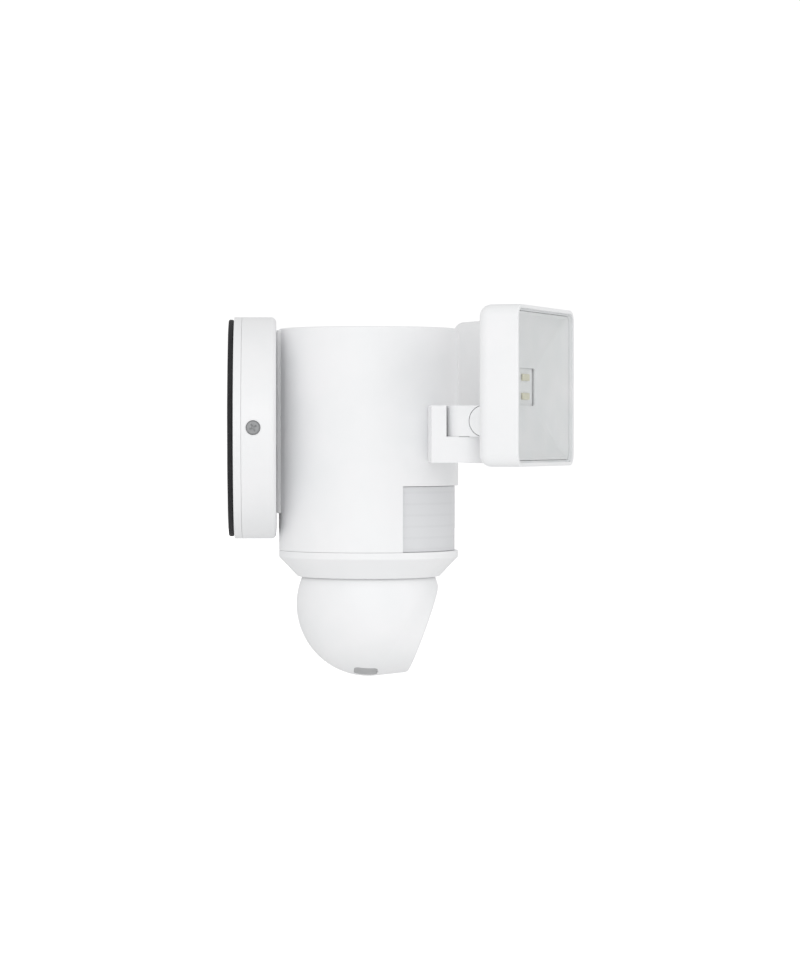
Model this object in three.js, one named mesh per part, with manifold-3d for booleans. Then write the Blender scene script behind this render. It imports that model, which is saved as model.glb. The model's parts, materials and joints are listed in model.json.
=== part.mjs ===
import * as THREE from "three";
import { mergeVertices } from "three/addons/utils/BufferGeometryUtils.js";
import Module from "manifold-3d";

// A wall floodlight with two lamps on arms and a pan and tilt camera in a ball below its body.
// Sizes are millimetres. The wall is the plane y = 0, the fixture stands out towards -Y, and Z is up.

// Clearances
const fitGap = 0.3; // between pieces that stay together
const runGap = 0.4; // round a pin, a shaft or a slide that moves

// Canopy, the round box on the wall
const gasketDepth = 3.3;
const gasketInset = 1.2;
const gasketWidth = 13.8;
const canopyRadius = 65;
const canopyWall = 2.5;
const canopyFillet = 3;
const coverDepth = 20;
const baseDepth = 4.5;
const basePlate = 2.5;
const cableHoleRadius = 11;
const spigotHeight = 14;
const strapWidth = 24;
const strapThickness = 1.6;
const strapCorner = 4;
const strapSlot = [4.4, 13]; // for the screws into the wall box
const strapSlotReach = 20; // from the centre to each slot
const strapScrewReach = 36; // from the centre to each screw that holds the base to the strap
const wireHoleRadius = 8;
const sideScrewLength = 14;
const terminalSize = [32, 13, 13]; // across, outwards, upwards
const terminalDrop = 20;

// Machine screws of the canopy
const screwRadius = 2;
const screwHeadRadius = 4.1;
const screwHeadHeight = 1.8;
const sideScrewDepth = 7; // from the seam between base and cover

// Body, the upright cylinder
const bodyRadius = 52.7;
const bodyTop = 58.2;
const bodyHeight = 129.8;
const bodyWall = 2.5;
const bodyEdge = 1;
const neckDepth = 1.5;
const neckHalfWidth = 11;
const neckHeight = 107;

// Motion sensor
const windowHeight = 38;
const windowHalfAngle = THREE.MathUtils.degToRad(69.5);
const windowRecess = 2;
const windowPanel = 1.4;
const windowFlange = 2.6;
const windowFlangeDepth = 1.2;
const sensorRadius = 4.6;
const sensorHeight = 3.8;
const sensorSpacing = 26;
const boardThickness = 1.6;

// Boards and parts inside the body
const pirBoardHalf = 22;
const shieldSize = [36, 4, 28]; // across, outwards, upwards
const shieldBottom = 12;
const transformerSize = [24, 20, 22];
const transformerX = -15;
const transformerBottom = 14;
const capacitorRadius = 8;
const capacitorLength = 27;
const capacitorX = 14;
const capacitorBottom = 8;
const speakerRadius = 18;
const speakerDustCap = 6;
const speakerMagnet = 10;
const speakerDepth = 17;
const speakerSetback = 18; // of its rim behind the body's bore
const speakerDrop = 4;

// Collar under the body
const collarBand = 3.7;
const collarCone = 11.4;
const collarWall = 2;
const collarLip = 1.4;
const collarSpigot = 4;

// Camera ball
const ballRadius = 42.6;
const ballWall = 2;
const ballDrop = 16.5; // from the collar's rim to the ball's centre
const ballClearance = 1.3;
const ballFlat = 35.3; // from the centre to the flat front
const ballFlatSoft = 2; // how far the flat's rounded edge reaches to both sides of its corner
const faceDrop = 3.2; // of the flat's middle below the view axis
const restTilt = THREE.MathUtils.degToRad(20);
const glassRadius = 20.5;
const glassStretch = 5.5; // how much taller than wide the glass is, all of it below
const glassThickness = 1.2;
const glassLip = 2;
const lensOffset = 8.4;
const wideLensRadius = 6.9;
const teleLensRadius = 5.2;

const cameraBoardFace = 19.5; // the front of the camera's board, from the ball's centre
const cameraBoardHalf = [14.5, 15];
const cameraFrameHalf = 9;

// Pan and tilt drive
const tiltUp = THREE.MathUtils.degToRad(20);
const tiltDown = THREE.MathUtils.degToRad(35);
const pressureAngle = THREE.MathUtils.degToRad(25);
const backlash = 0.4;
const meshSlack = 0.15;
const panModule = 1.5;
const panGearTeeth = 36;
const tiltModule = 1;
const tiltGearTeeth = 36;
const pinionTeeth = 12;
const gearWidth = 5;
const tiltGearWidth = 3;
const turretRadius = 33;
const turretThickness = 3;
const hubRadius = 9;
const hubBore = 5.5;
const bushWall = 2.5;
const clipThickness = 1.5;
const platformThickness = 3;
const yokeArmInner = 15;
const yokeArmThickness = 4;
const yokeArmHalfDepth = 4.5;
const trunnionRadius = 3;
const panMotorRadius = 12;
const panMotorHeight = 19;
const tiltMotorRadius = 8;
const tiltMotorLength = 15.7;
const tiltMotorLean = THREE.MathUtils.degToRad(30); // behind the upright, seen from the tilt axis

// Service cover in the ball's underside
const serviceWidth = 11.5;
const serviceLength = 13.5;
const serviceCorner = 2.6;
const serviceLean = THREE.MathUtils.degToRad(23); // from straight down, towards the left lamp
const serviceTurn = THREE.MathUtils.degToRad(3.2); // and towards the wall
const servicePocket = 8;
const buttonRadius = 1.3;
const nailNotchRadius = 0.9;
const nailNotchDepth = 1.2;

// Lamp arms
const armReach = 86; // from the centre plane to the arm's outer end
const armThickness = 8.4;
const armTop = 12.4;
const armBottom = -19.7;
const armSetback = 11.6; // of the arm's front face behind the body's front
const armCorner = 1.2;
const tenonThickness = 5;
const tenonHeight = 18;
const knuckleRadius = 10;
const knuckleSlit = 0.9;
const knuckleBottom = -5;
const pivotRadius = 3;
const pivotHeadRadius = 6;
const pivotHeadHeight = 3.4;

// Lamps
const lampWidth = 109;
const lampHeight = 88.8;
const lampDepth = 23.6;
const lampBottom = -21.6;
const lampCorner = 7;
const lampRearFillet = 6.5;
const lampEdge = 0.6;
const lampWall = 2;
const lampPanAngle = THREE.MathUtils.degToRad(21.6);
const tiltAxisReach = 15.1; // from the pan axis to the tilt axis
const lampRearReach = 25.1; // from the pan axis to the lamp's rear face
const lugInner = 5.6;
const tiltPinRadius = 2.5;
const lensSheet = 1.6;
const lensLedge = 1.2;
const reflectorDepth = 11.5;
const reflectorFloor = [30, 21];
const reflectorSheet = 1;
const ledSize = [13, 3.8, 0.8];
const ledSpacing = 10.6;

// Places that follow from the sizes above
const baseFront = gasketDepth + baseDepth;
const canopyDepth = baseFront + coverDepth;
const axisY = -(canopyDepth + neckDepth + bodyRadius);
const bodyBottom = bodyTop - bodyHeight;
const bodyBore = bodyRadius - bodyWall;
const collarTop = bodyBottom - fitGap;
const collarRim = collarTop - collarBand - collarCone;
const ballZ = collarRim - ballDrop;
const collarBore = Math.sqrt(ballRadius ** 2 - ballDrop ** 2) + ballClearance;
const turretBottom = ballZ + ballRadius + 1;
const turretTop = turretBottom + turretThickness;
const gearTop = turretTop + fitGap + gearWidth;
const platformBottom = gearTop + 0.7;
const platformTop = platformBottom + platformThickness;
const bushTop = platformTop + fitGap + 1.4;
const clipBottom = bushTop + fitGap;
const hubTop = clipBottom + clipThickness + 1.5;
const panCentre = (panModule * (panGearTeeth + pinionTeeth)) / 2 + meshSlack;
const tiltCentre = (tiltModule * (tiltGearTeeth + pinionTeeth)) / 2 + meshSlack;
const faceRadius = Math.sqrt(ballRadius ** 2 - ballFlat ** 2) + faceDrop;
const glassSeat = ballFlat - glassThickness - fitGap;
const tiltGearX = yokeArmInner - 1.2 - tiltGearWidth;
const windowInner = bodyRadius - windowRecess - windowPanel;
const windowBack = windowInner - windowFlangeDepth;
const sensorFront = Math.sqrt(windowBack ** 2 - (sensorSpacing / 2 + sensorRadius) ** 2) - 2 * fitGap;
const sensorBoardY = -(sensorFront - sensorHeight - fitGap); // the front of the sensors' board
const spineFront = 2; // the upright wall that carries the two large boards
const spineBack = spineFront + 2.5;
const armFront = -(bodyRadius - armSetback);
const panAxisY = armFront - knuckleSlit - knuckleRadius;
const panAxisX = armReach - knuckleRadius;
const footTop = knuckleBottom - fitGap;
const barrelRadius = (armTop - knuckleBottom) / 2;
const tiltAxisZ = knuckleBottom + barrelRadius;
const lampFront = lampRearReach + lampDepth;
const lampMiddleZ = lampBottom + lampHeight / 2;

const wasm = await Module();
wasm.setup();

// ---- Shapes ----

// The solid of a closed geometry, or the solid itself.
function solidOf(shape) {
  if (!shape.isBufferGeometry) return shape;
  const bare = shape.clone();
  bare.deleteAttribute("normal");
  bare.deleteAttribute("uv");
  const merged = mergeVertices(bare, 1e-3);
  const triVerts = [];
  for (let i = 0; i < merged.index.count; i += 3) {
    const [a, b, c] = merged.index.array.slice(i, i + 3);
    if (a !== b && b !== c && c !== a) triVerts.push(a, b, c);
  }
  return new wasm.Manifold(
    new wasm.Mesh({
      numProp: 3,
      vertProperties: merged.attributes.position.array,
      triVerts: new Uint32Array(triVerts),
    }),
  );
}

function geometryOf(solid) {
  const mesh = solid.getMesh();
  return new THREE.BufferGeometry()
    .setAttribute("position", new THREE.BufferAttribute(mesh.vertProperties, mesh.numProp))
    .setIndex(new THREE.BufferAttribute(mesh.triVerts, 1));
}

function join(...shapes) {
  return shapes.map(solidOf).reduce((whole, piece) => whole.add(piece));
}

function cut(shape, ...tools) {
  return tools.map(solidOf).reduce((rest, tool) => rest.subtract(tool), solidOf(shape));
}

function common(shape, other) {
  return solidOf(shape).intersect(solidOf(other));
}

function counterClockwise(points) {
  let area = 0;
  points.forEach(([x, y], i) => {
    const [nextX, nextY] = points[(i + 1) % points.length];
    area += x * nextY - nextX * y;
  });
  return area > 0 ? points : [...points].reverse();
}

// A solid of revolution about Z. A profile of [radius, height] starts and ends on the axis,
// or is closed into a ring.
function turned(profile, segments = 48) {
  const points = counterClockwise(profile);
  const onAxis = points.findIndex(([r]) => r === 0) >= 0;
  const start = onAxis ? points.findIndex(([r], i) => r === 0 && points.at(i - 1)[0] === 0) : 0;
  const ordered = [...points.slice(start), ...points.slice(0, start)];
  if (!onAxis) ordered.push(ordered[0]);
  const curve = ordered.map(([r, z]) => new THREE.Vector2(r, z));
  return new THREE.LatheGeometry(curve, segments).rotateX(Math.PI / 2);
}

// An outline of [x, y] points drawn out along Z, from z0 to z1.
function drawn(points, z0, z1) {
  const outline = new THREE.Shape(points.map(([x, y]) => new THREE.Vector2(x, y)));
  return new THREE.ExtrudeGeometry(outline, { depth: z1 - z0, bevelEnabled: false }).translate(0, 0, z0);
}

// Two ends in rising order, for a shape that is mirrored to either side.
function span(a, b) {
  return a < b ? [a, b] : [b, a];
}

function block(x0, x1, y0, y1, z0, z1) {
  return new THREE.BoxGeometry(x1 - x0, y1 - y0, z1 - z0).translate(
    (x0 + x1) / 2,
    (y0 + y1) / 2,
    (z0 + z1) / 2,
  );
}

function rod(radius, z0, z1, segments = 24) {
  return new THREE.CylinderGeometry(radius, radius, z1 - z0, segments)
    .rotateX(Math.PI / 2)
    .translate(0, 0, (z0 + z1) / 2);
}

function at(geometry, x, y, z) {
  return geometry.translate(x, y, z);
}

// Turns a shape so that its Z runs outwards from the wall and its Y upwards.
function facing(geometry) {
  return geometry.rotateX(Math.PI / 2);
}

// Turns a shape so that its Z runs along X, its X along Y and its Y upwards.
function across(geometry) {
  const turn = new THREE.Matrix4().makeBasis(
    new THREE.Vector3(0, 1, 0),
    new THREE.Vector3(0, 0, 1),
    new THREE.Vector3(1, 0, 0),
  );
  return geometry.applyMatrix4(turn);
}

function arc(centreX, centreY, radius, from, to, steps) {
  return Array.from({ length: steps + 1 }, (_, i) => {
    const angle = from + ((to - from) * i) / steps;
    return [centreX + radius * Math.cos(angle), centreY + radius * Math.sin(angle)];
  });
}

function roundedRectangle(width, height, radius, steps = 4) {
  const x = width / 2 - radius;
  const y = height / 2 - radius;
  const quarter = Math.PI / 2;
  return [
    ...arc(x, y, radius, 0, quarter, steps),
    ...arc(-x, y, radius, quarter, 2 * quarter, steps),
    ...arc(-x, -y, radius, 2 * quarter, 3 * quarter, steps),
    ...arc(x, -y, radius, 3 * quarter, 4 * quarter, steps),
  ];
}

// Skins a stack of outlines with the same number of points, each { points, z }. The stack rises along Z
// and is capped, or with closed set it comes back to its first outline and makes a frame.
function skinned(rings, closed = false) {
  const count = rings[0].points.length;
  const position = rings.flatMap(({ points, z }) => points.flatMap(([x, y]) => [x, y, z]));
  const index = [];
  const last = closed ? rings.length : rings.length - 1;
  for (let i = 0; i < last; i++) {
    const below = i * count;
    const above = ((i + 1) % rings.length) * count;
    for (let j = 0; j < count; j++) {
      const next = (j + 1) % count;
      index.push(below + j, below + next, above + next, below + j, above + next, above + j);
    }
  }
  const top = (rings.length - 1) * count;
  for (let j = 1; !closed && j < count - 1; j++) index.push(0, j + 1, j, top, top + j, top + j + 1);
  return new THREE.BufferGeometry()
    .setAttribute("position", new THREE.Float32BufferAttribute(position, 3))
    .setIndex(index);
}

// The outline of a spur gear. toothed gives the first and last tooth of a sector gear, whose rest is a hub.
function gearOutline(teeth, module, toothed = [0, teeth - 1], sectorHub = 0) {
  const pitchRadius = (teeth * module) / 2;
  const involute = Math.tan(pressureAngle) - pressureAngle;
  const halfTooth = Math.PI / (2 * teeth) - backlash / (4 * pitchRadius);
  const baseRadius = pitchRadius * Math.cos(pressureAngle);
  const halfAngle = (radius) => {
    const angle = Math.acos(Math.min(1, baseRadius / radius));
    return halfTooth + involute - (Math.tan(angle) - angle);
  };
  const radii = [pitchRadius - 1.2 * module, pitchRadius, pitchRadius + 0.9 * module];
  const points = [];
  for (let tooth = toothed[0]; tooth <= toothed[1]; tooth++) {
    const middle = (tooth * 2 * Math.PI) / teeth;
    const flank = (radius, side) => {
      const angle = middle + side * halfAngle(radius);
      return [radius * Math.cos(angle), radius * Math.sin(angle)];
    };
    points.push(...radii.map((r) => flank(r, -1)), ...radii.toReversed().map((r) => flank(r, 1)));
  }
  if (!sectorHub) return points;
  const end = ((toothed[1] + 1) * 2 * Math.PI) / teeth;
  const begin = ((toothed[0] - 1) * 2 * Math.PI) / teeth + 2 * Math.PI;
  return [...points, ...arc(0, 0, sectorHub, end, begin, 10)];
}

// A pan head screw with a crossed recess, its head's top at z = 0 and its shank running down.
function screw(length) {
  const head = turned(
    [
      [0, 0],
      [screwHeadRadius * 0.6, 0],
      [screwHeadRadius * 0.92, -screwHeadHeight * 0.3],
      [screwHeadRadius, -screwHeadHeight * 0.65],
      [screwHeadRadius, -screwHeadHeight],
      [screwRadius - fitGap, -screwHeadHeight],
      [screwRadius - fitGap, -length],
      [0, -length],
    ],
    20,
  );
  const slot = screwHeadRadius * 0.55;
  const half = 0.5;
  return cut(
    head,
    block(-slot, slot, -half, half, -screwHeadHeight * 0.6, 1),
    block(-half, half, -slot, slot, -screwHeadHeight * 0.6, 1),
  );
}

// ---- Finishes ----

function finish(color, roughness, metalness = 0) {
  return new THREE.MeshStandardMaterial({ color, roughness, metalness });
}

const whitePlastic = finish(0xf2f2f3, 0.45);
const windowPlastic = finish(0xe2e3e4, 0.4);
const blackRubber = finish(0x1c1c1d, 0.8);
const blackGlass = finish(0x0b0b0d, 0.08);
const clearPlastic = finish(0xf4f6f7, 0.1);
const reflectorWhite = finish(0xeeeeee, 0.3);
const ledPhosphor = finish(0xe4dfc2, 0.5);
const greyPlastic = finish(0xa9aaab, 0.5);
const darkPlastic = finish(0x303234, 0.55);
const innerPlastic = finish(0xc9cacb, 0.6);
const steel = finish(0xb4b5b7, 0.35, 1);
const boardGreen = finish(0x2f6b46, 0.5);
const aluminium = finish(0xc4c6c8, 0.4, 1);
const acetal = finish(0xe8e6dc, 0.45);
const lensGlass = finish(0x15151c, 0.05);

function add(group, name, shape, material) {
  const piece = new THREE.Mesh(geometryOf(solidOf(shape)), material);
  piece.name = name;
  group.add(piece);
  return piece;
}

function newGroup(parent, x, y, z) {
  const group = new THREE.Group();
  group.position.set(x, y, z);
  parent.add(group);
  return group;
}

// ---- Canopy ----

function wallGasket() {
  const outer = canopyRadius - gasketInset;
  const inner = outer - gasketWidth;
  const ring = [
    [inner, 0],
    [outer, 0],
    [outer, gasketDepth - fitGap / 2],
    [inner, gasketDepth - fitGap / 2],
  ];
  return facing(turned(ring, 48));
}

function wallBase() {
  const floor = baseFront - basePlate;
  const spigotRadius = canopyRadius - canopyWall - fitGap;
  const spigotTop = baseFront + spigotHeight;
  const seat = canopyRadius - gasketInset - gasketWidth - 1;
  const plate = turned(
    [
      [cableHoleRadius, floor],
      [seat, floor],
      [seat, gasketDepth],
      [canopyRadius, gasketDepth],
      [canopyRadius, baseFront],
      [spigotRadius, baseFront],
      [spigotRadius, spigotTop],
      [spigotRadius - canopyWall, spigotTop],
      [spigotRadius - canopyWall, baseFront],
      [cableHoleRadius, baseFront],
    ],
    48,
  );
  let base = solidOf(facing(plate));
  const bossHalf = screwHeadRadius + 1;
  const bossY = -(baseFront + sideScrewDepth);
  const screwHole = across(rod(screwRadius, -canopyRadius, canopyRadius, 16));
  for (const side of [-1, 1]) {
    const [x0, x1] = span(side * (spigotRadius - 1), side * (spigotRadius - 12));
    base = join(base, block(x0, x1, bossY - bossHalf, -baseFront + 0.5, -bossHalf, bossHalf));
    const slot = roundedRectangle(screwRadius * 2 + 1, 14, screwRadius + 0.5 - 0.01);
    base = cut(base, at(facing(drawn(slot, 0, canopyDepth)), 0, 0, side * strapScrewReach));
  }
  return cut(base, at(screwHole, 0, bossY, 0));
}

function mountingStrap() {
  const half = canopyRadius - gasketInset - gasketWidth - 2.5;
  const outline = roundedRectangle(strapWidth, half * 2, strapCorner);
  const bar = facing(drawn(outline, fitGap, fitGap + strapThickness));
  const slot = roundedRectangle(...strapSlot, strapSlot[0] / 2 - 0.1);
  const holes = [-1, 1].map((side) =>
    at(facing(rod(screwRadius, -1, gasketDepth, 16)), 0, 0, side * strapScrewReach),
  );
  const slots = [-1, 1].map((side) =>
    at(facing(drawn(slot, -1, gasketDepth)), 0, 0, side * strapSlotReach),
  );
  return cut(bar, facing(rod(wireHoleRadius + 1, -1, gasketDepth)), ...holes, ...slots);
}

function canopyCover() {
  const quarter = Math.PI / 2;
  const inner = canopyRadius - canopyWall;
  const cup = turned(
    [
      [wireHoleRadius + 1, canopyDepth - canopyWall],
      [inner, canopyDepth - canopyWall],
      [inner, baseFront + fitGap],
      [canopyRadius, baseFront + fitGap],
      ...arc(canopyRadius - canopyFillet, canopyDepth - canopyFillet, canopyFillet, 0, quarter, 3),
      [wireHoleRadius + 1, canopyDepth],
    ],
    48,
  );
  const screwY = -(baseFront + sideScrewDepth);
  const hole = at(across(rod(screwRadius + fitGap, -canopyRadius, canopyRadius, 16)), 0, screwY, 0);
  const recesses = [-1, 1].map((side) => {
    const [x0, x1] = span(side * (canopyRadius - 1.3), side * (canopyRadius + 2));
    return at(across(rod(screwHeadRadius + fitGap, x0, x1, 20)), 0, screwY, 0);
  });
  return cut(facing(cup), hole, ...recesses);
}

function terminalBlock() {
  const [width, depth, height] = terminalSize;
  const back = baseFront + fitGap;
  let shape = block(-width / 2, width / 2, -back - depth, -back, -height / 2, height / 2);
  const pitch = width / 3;
  for (const way of [-1, 0, 1]) {
    const wireWay = at(rod(2, -height, height, 12), way * pitch, -back - depth * 0.45, 0);
    const screwWell = at(facing(rod(2.6, back + depth * 0.4, back + depth + 1, 12)), way * pitch, 0, 0);
    shape = cut(shape, wireWay, screwWell);
  }
  return shape;
}

function buildCanopy(fixture) {
  const screwY = -(baseFront + sideScrewDepth);
  add(fixture, "wall_gasket", wallGasket(), blackRubber);
  add(fixture, "wall_base", wallBase(), whitePlastic);
  add(fixture, "mounting_strap", mountingStrap(), steel);
  add(fixture, "canopy_cover", canopyCover(), whitePlastic);
  for (const [name, side] of [["left", -1], ["right", 1]]) {
    const head = newGroup(fixture, side * (canopyRadius + 0.8), screwY, 0);
    head.rotation.y = (side * Math.PI) / 2;
    add(head, "side_screw_" + name, screw(sideScrewLength), steel);
  }
  for (const [name, side] of [["upper", 1], ["lower", -1]]) {
    const top = baseFront + fitGap + screwHeadHeight;
    const head = newGroup(fixture, 0, -top, side * strapScrewReach);
    head.rotation.x = Math.PI / 2;
    add(head, "strap_screw_" + name, screw(top - fitGap - 0.3), steel);
  }
  const terminals = newGroup(fixture, 0, 0, -terminalDrop);
  add(terminals, "terminal_block", terminalBlock(), acetal);
}

// ---- Body ----

// An upright piece of a ring, to both sides of the front.
function frontSector(inner, outer, halfAngle, z0, z1, steps = 16) {
  const front = -Math.PI / 2;
  const points = [
    ...arc(0, 0, outer, front - halfAngle, front + halfAngle, steps),
    ...arc(0, 0, inner, front + halfAngle, front - halfAngle, steps),
  ];
  return drawn(points, z0, z1);
}

function tenon(side, extra = 0) {
  const middle = armFront + armThickness / 2;
  const half = tenonThickness / 2 + extra;
  const top = (armTop + armBottom) / 2 + tenonHeight / 2 + extra;
  const inner = Math.sqrt(bodyBore ** 2 - middle ** 2) - 6;
  const [x0, x1] = span(side * (inner - extra), side * (inner + 16));
  return block(x0, x1, middle - half, middle + half, top - tenonHeight - 2 * extra, top);
}

function housingShell() {
  const quarter = Math.PI / 2;
  const can = turned(
    [
      [bodyBore, bodyBottom],
      [bodyRadius, bodyBottom],
      ...arc(bodyRadius - bodyEdge, bodyTop - bodyEdge, bodyEdge, 0, quarter, 2),
      [0, bodyTop],
      [0, bodyTop - bodyWall],
      [bodyBore, bodyTop - bodyWall],
    ],
    48,
  );
  const neckTop = bodyTop - bodyEdge;
  const neckBack = bodyRadius + neckDepth - fitGap / 2;
  const pad = cut(
    block(-neckHalfWidth, neckHalfWidth, bodyBore * 0.8, neckBack, neckTop - neckHeight, neckTop),
    rod(bodyRadius - bodyWall / 2, bodyBottom, bodyTop, 48),
  );
  const windowCut = frontSector(
    bodyBore * 0.8,
    bodyRadius + 2,
    windowHalfAngle,
    bodyBottom - 1,
    bodyBottom + windowHeight,
  );
  const wireHole = facing(rod(wireHoleRadius, -bodyRadius - neckDepth - 1, -bodyBore + 4));
  return cut(join(can, pad), windowCut, wireHole, tenon(-1, fitGap), tenon(1, fitGap));
}

function lowerCollar() {
  const bandBottom = collarTop - collarBand;
  const rimOuter = collarBore + collarLip;
  const slope = (bodyRadius - rimOuter) / collarCone;
  const lipTop = collarRim + collarWall + collarLip / slope;
  const spigotOuter = bodyBore - windowPanel;
  const spigotInner = spigotOuter - collarWall;
  const innerBandBottom = collarRim + collarWall + (spigotInner - collarBore + collarLip) / slope;
  return turned(
    [
      [bodyRadius, collarTop],
      [spigotOuter, collarTop],
      [spigotOuter, collarTop + collarSpigot],
      [spigotInner, collarTop + collarSpigot],
      [spigotInner, innerBandBottom],
      [collarBore, lipTop],
      [collarBore, collarRim],
      [rimOuter, collarRim],
      [bodyRadius, bandBottom],
    ],
    48,
  );
}

function pirWindow() {
  const outer = bodyRadius - windowRecess;
  const edge = fitGap / outer;
  const bottom = bodyBottom + fitGap / 2;
  const top = bodyBottom + windowHeight;
  const panel = frontSector(windowInner, outer, windowHalfAngle - edge, bottom, top - fitGap);
  const flange = frontSector(
    windowBack,
    Math.min(windowInner + fitGap, bodyBore - fitGap),
    windowHalfAngle + windowFlange / outer,
    collarTop + collarSpigot + fitGap,
    top + windowFlange,
  );
  return join(panel, flange);
}

function innerChassis() {
  const edge = sensorBoardY + boardThickness + fitGap;
  const spineTop = bodyTop - bodyWall - 4;
  const spineHalf = windowBack * 0.8;
  const archHalf = hubRadius + bushWall + 6;
  return cut(
    join(
      rod(windowBack - fitGap, platformBottom, platformTop, 48),
      block(-spineHalf, spineHalf, spineFront, spineBack, platformTop - 0.5, spineTop),
    ),
    rod(hubRadius + runGap + bushWall + fitGap, platformBottom - 1, hubTop + 2),
    block(-archHalf, archHalf, spineFront - 1, spineBack + 1, platformTop, hubTop + 2),
    at(rod(screwRadius + 2.5, platformBottom - 1, platformTop + 1, 16), 0, panCentre, 0),
    block(-bodyRadius, bodyRadius, -bodyRadius, edge, platformBottom - 1, platformTop + 1),
  );
}

function pirBoard() {
  const top = bodyBottom + windowHeight - 4;
  const bottom = collarTop + collarSpigot + 2;
  return block(-pirBoardHalf, pirBoardHalf, sensorBoardY, sensorBoardY + boardThickness, bottom, top);
}

function speaker() {
  const face = speakerSetback - bodyBore;
  const profile = [
    [0, -face],
    [speakerDustCap, -face - 3],
    [speakerRadius - 2, -face],
    [speakerRadius, -face],
    [speakerRadius, -face - 4],
    [speakerMagnet, -face - 12],
    [speakerMagnet, -face - speakerDepth],
    [0, -face - speakerDepth],
  ];
  return at(facing(turned(profile, 28)), 0, 0, -speakerDrop);
}

// A part on a board: its size across, outwards and upwards, from its middle, its rear face and its bottom.
function onBoard([width, depth, height], x, y, z) {
  return block(x - width / 2, x + width / 2, y, y + depth, z, z + height);
}

function buildBody(fixture) {
  const body = newGroup(fixture, 0, axisY, 0);
  add(body, "housing_shell", housingShell(), whitePlastic);
  add(body, "lower_collar", lowerCollar(), whitePlastic);
  add(body, "pir_window", pirWindow(), windowPlastic);
  add(body, "pir_board", pirBoard(), boardGreen);
  const sensorZ = bodyBottom + windowHeight / 2;
  for (const [name, side] of [["left", -1], ["right", 1]]) {
    const start = -sensorBoardY + fitGap;
    const can = at(facing(rod(sensorRadius, start, start + sensorHeight, 20)), 0, 0, sensorZ);
    add(body, "pir_sensor_" + name, at(can, (side * sensorSpacing) / 2, 0, 0), aluminium);
  }
  add(body, "inner_chassis", innerChassis(), innerPlastic);

  const boardTop = bodyTop - bodyWall - 8;
  const boardHalf = bodyBore * 0.68;
  const frontFace = spineFront - fitGap - boardThickness;
  const backFace = spineBack + fitGap + boardThickness;
  const panMotorTop = platformTop + fitGap + panMotorHeight;
  const partFace = backFace + fitGap;
  add(
    body,
    "main_board",
    block(-boardHalf, boardHalf, frontFace, frontFace + boardThickness, hubTop + 4, boardTop),
    boardGreen,
  );
  const shieldBack = frontFace - fitGap - shieldSize[1];
  add(body, "rf_shield", onBoard(shieldSize, 0, shieldBack, shieldBottom), steel);
  add(
    body,
    "power_board",
    block(-boardHalf, boardHalf, backFace - boardThickness, backFace, panMotorTop + 3, boardTop),
    boardGreen,
  );
  const transformer = onBoard(transformerSize, transformerX, partFace, transformerBottom);
  add(body, "transformer", transformer, darkPlastic);
  const capacitor = rod(capacitorRadius, 0, capacitorLength, 20);
  add(
    body,
    "bulk_capacitor",
    at(capacitor, capacitorX, partFace + capacitorRadius, capacitorBottom),
    darkPlastic,
  );
  add(body, "speaker", speaker(), darkPlastic);

  const motorZ = platformTop + fitGap;
  const motorCase = cut(
    rod(panMotorRadius, motorZ, motorZ + panMotorHeight, 28),
    rod(screwRadius + runGap + 0.5, motorZ - 1, motorZ + 3, 16),
  );
  const motor = newGroup(body, 0, panCentre, 0);
  add(motor, "pan_motor", motorCase, aluminium);
  const gear = gearOutline(pinionTeeth, panModule);
  const pinion = join(
    drawn(gear, turretTop + fitGap, gearTop).rotateZ(Math.PI / pinionTeeth),
    rod(screwRadius + 0.5, gearTop - 1, motorZ + 2.5, 16),
  );
  add(motor, "pan_pinion", pinion, acetal);

  const sleeve = hubRadius + runGap;
  const bush = [
    [sleeve, platformBottom - 0.3],
    [sleeve + bushWall, platformBottom - 0.3],
    [sleeve + bushWall, platformTop + fitGap],
    [sleeve + bushWall + 3, platformTop + fitGap],
    [sleeve + bushWall + 3, bushTop],
    [sleeve, bushTop],
  ];
  add(body, "pan_bush", turned(bush, 32), acetal);
}

// ---- Turret and ball ----

// Points of the YZ plane, seen from the tilt axis: lean is the angle behind the upright.
function leaning(radius, lean) {
  return [radius * Math.sin(lean), radius * Math.cos(lean)];
}

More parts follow.
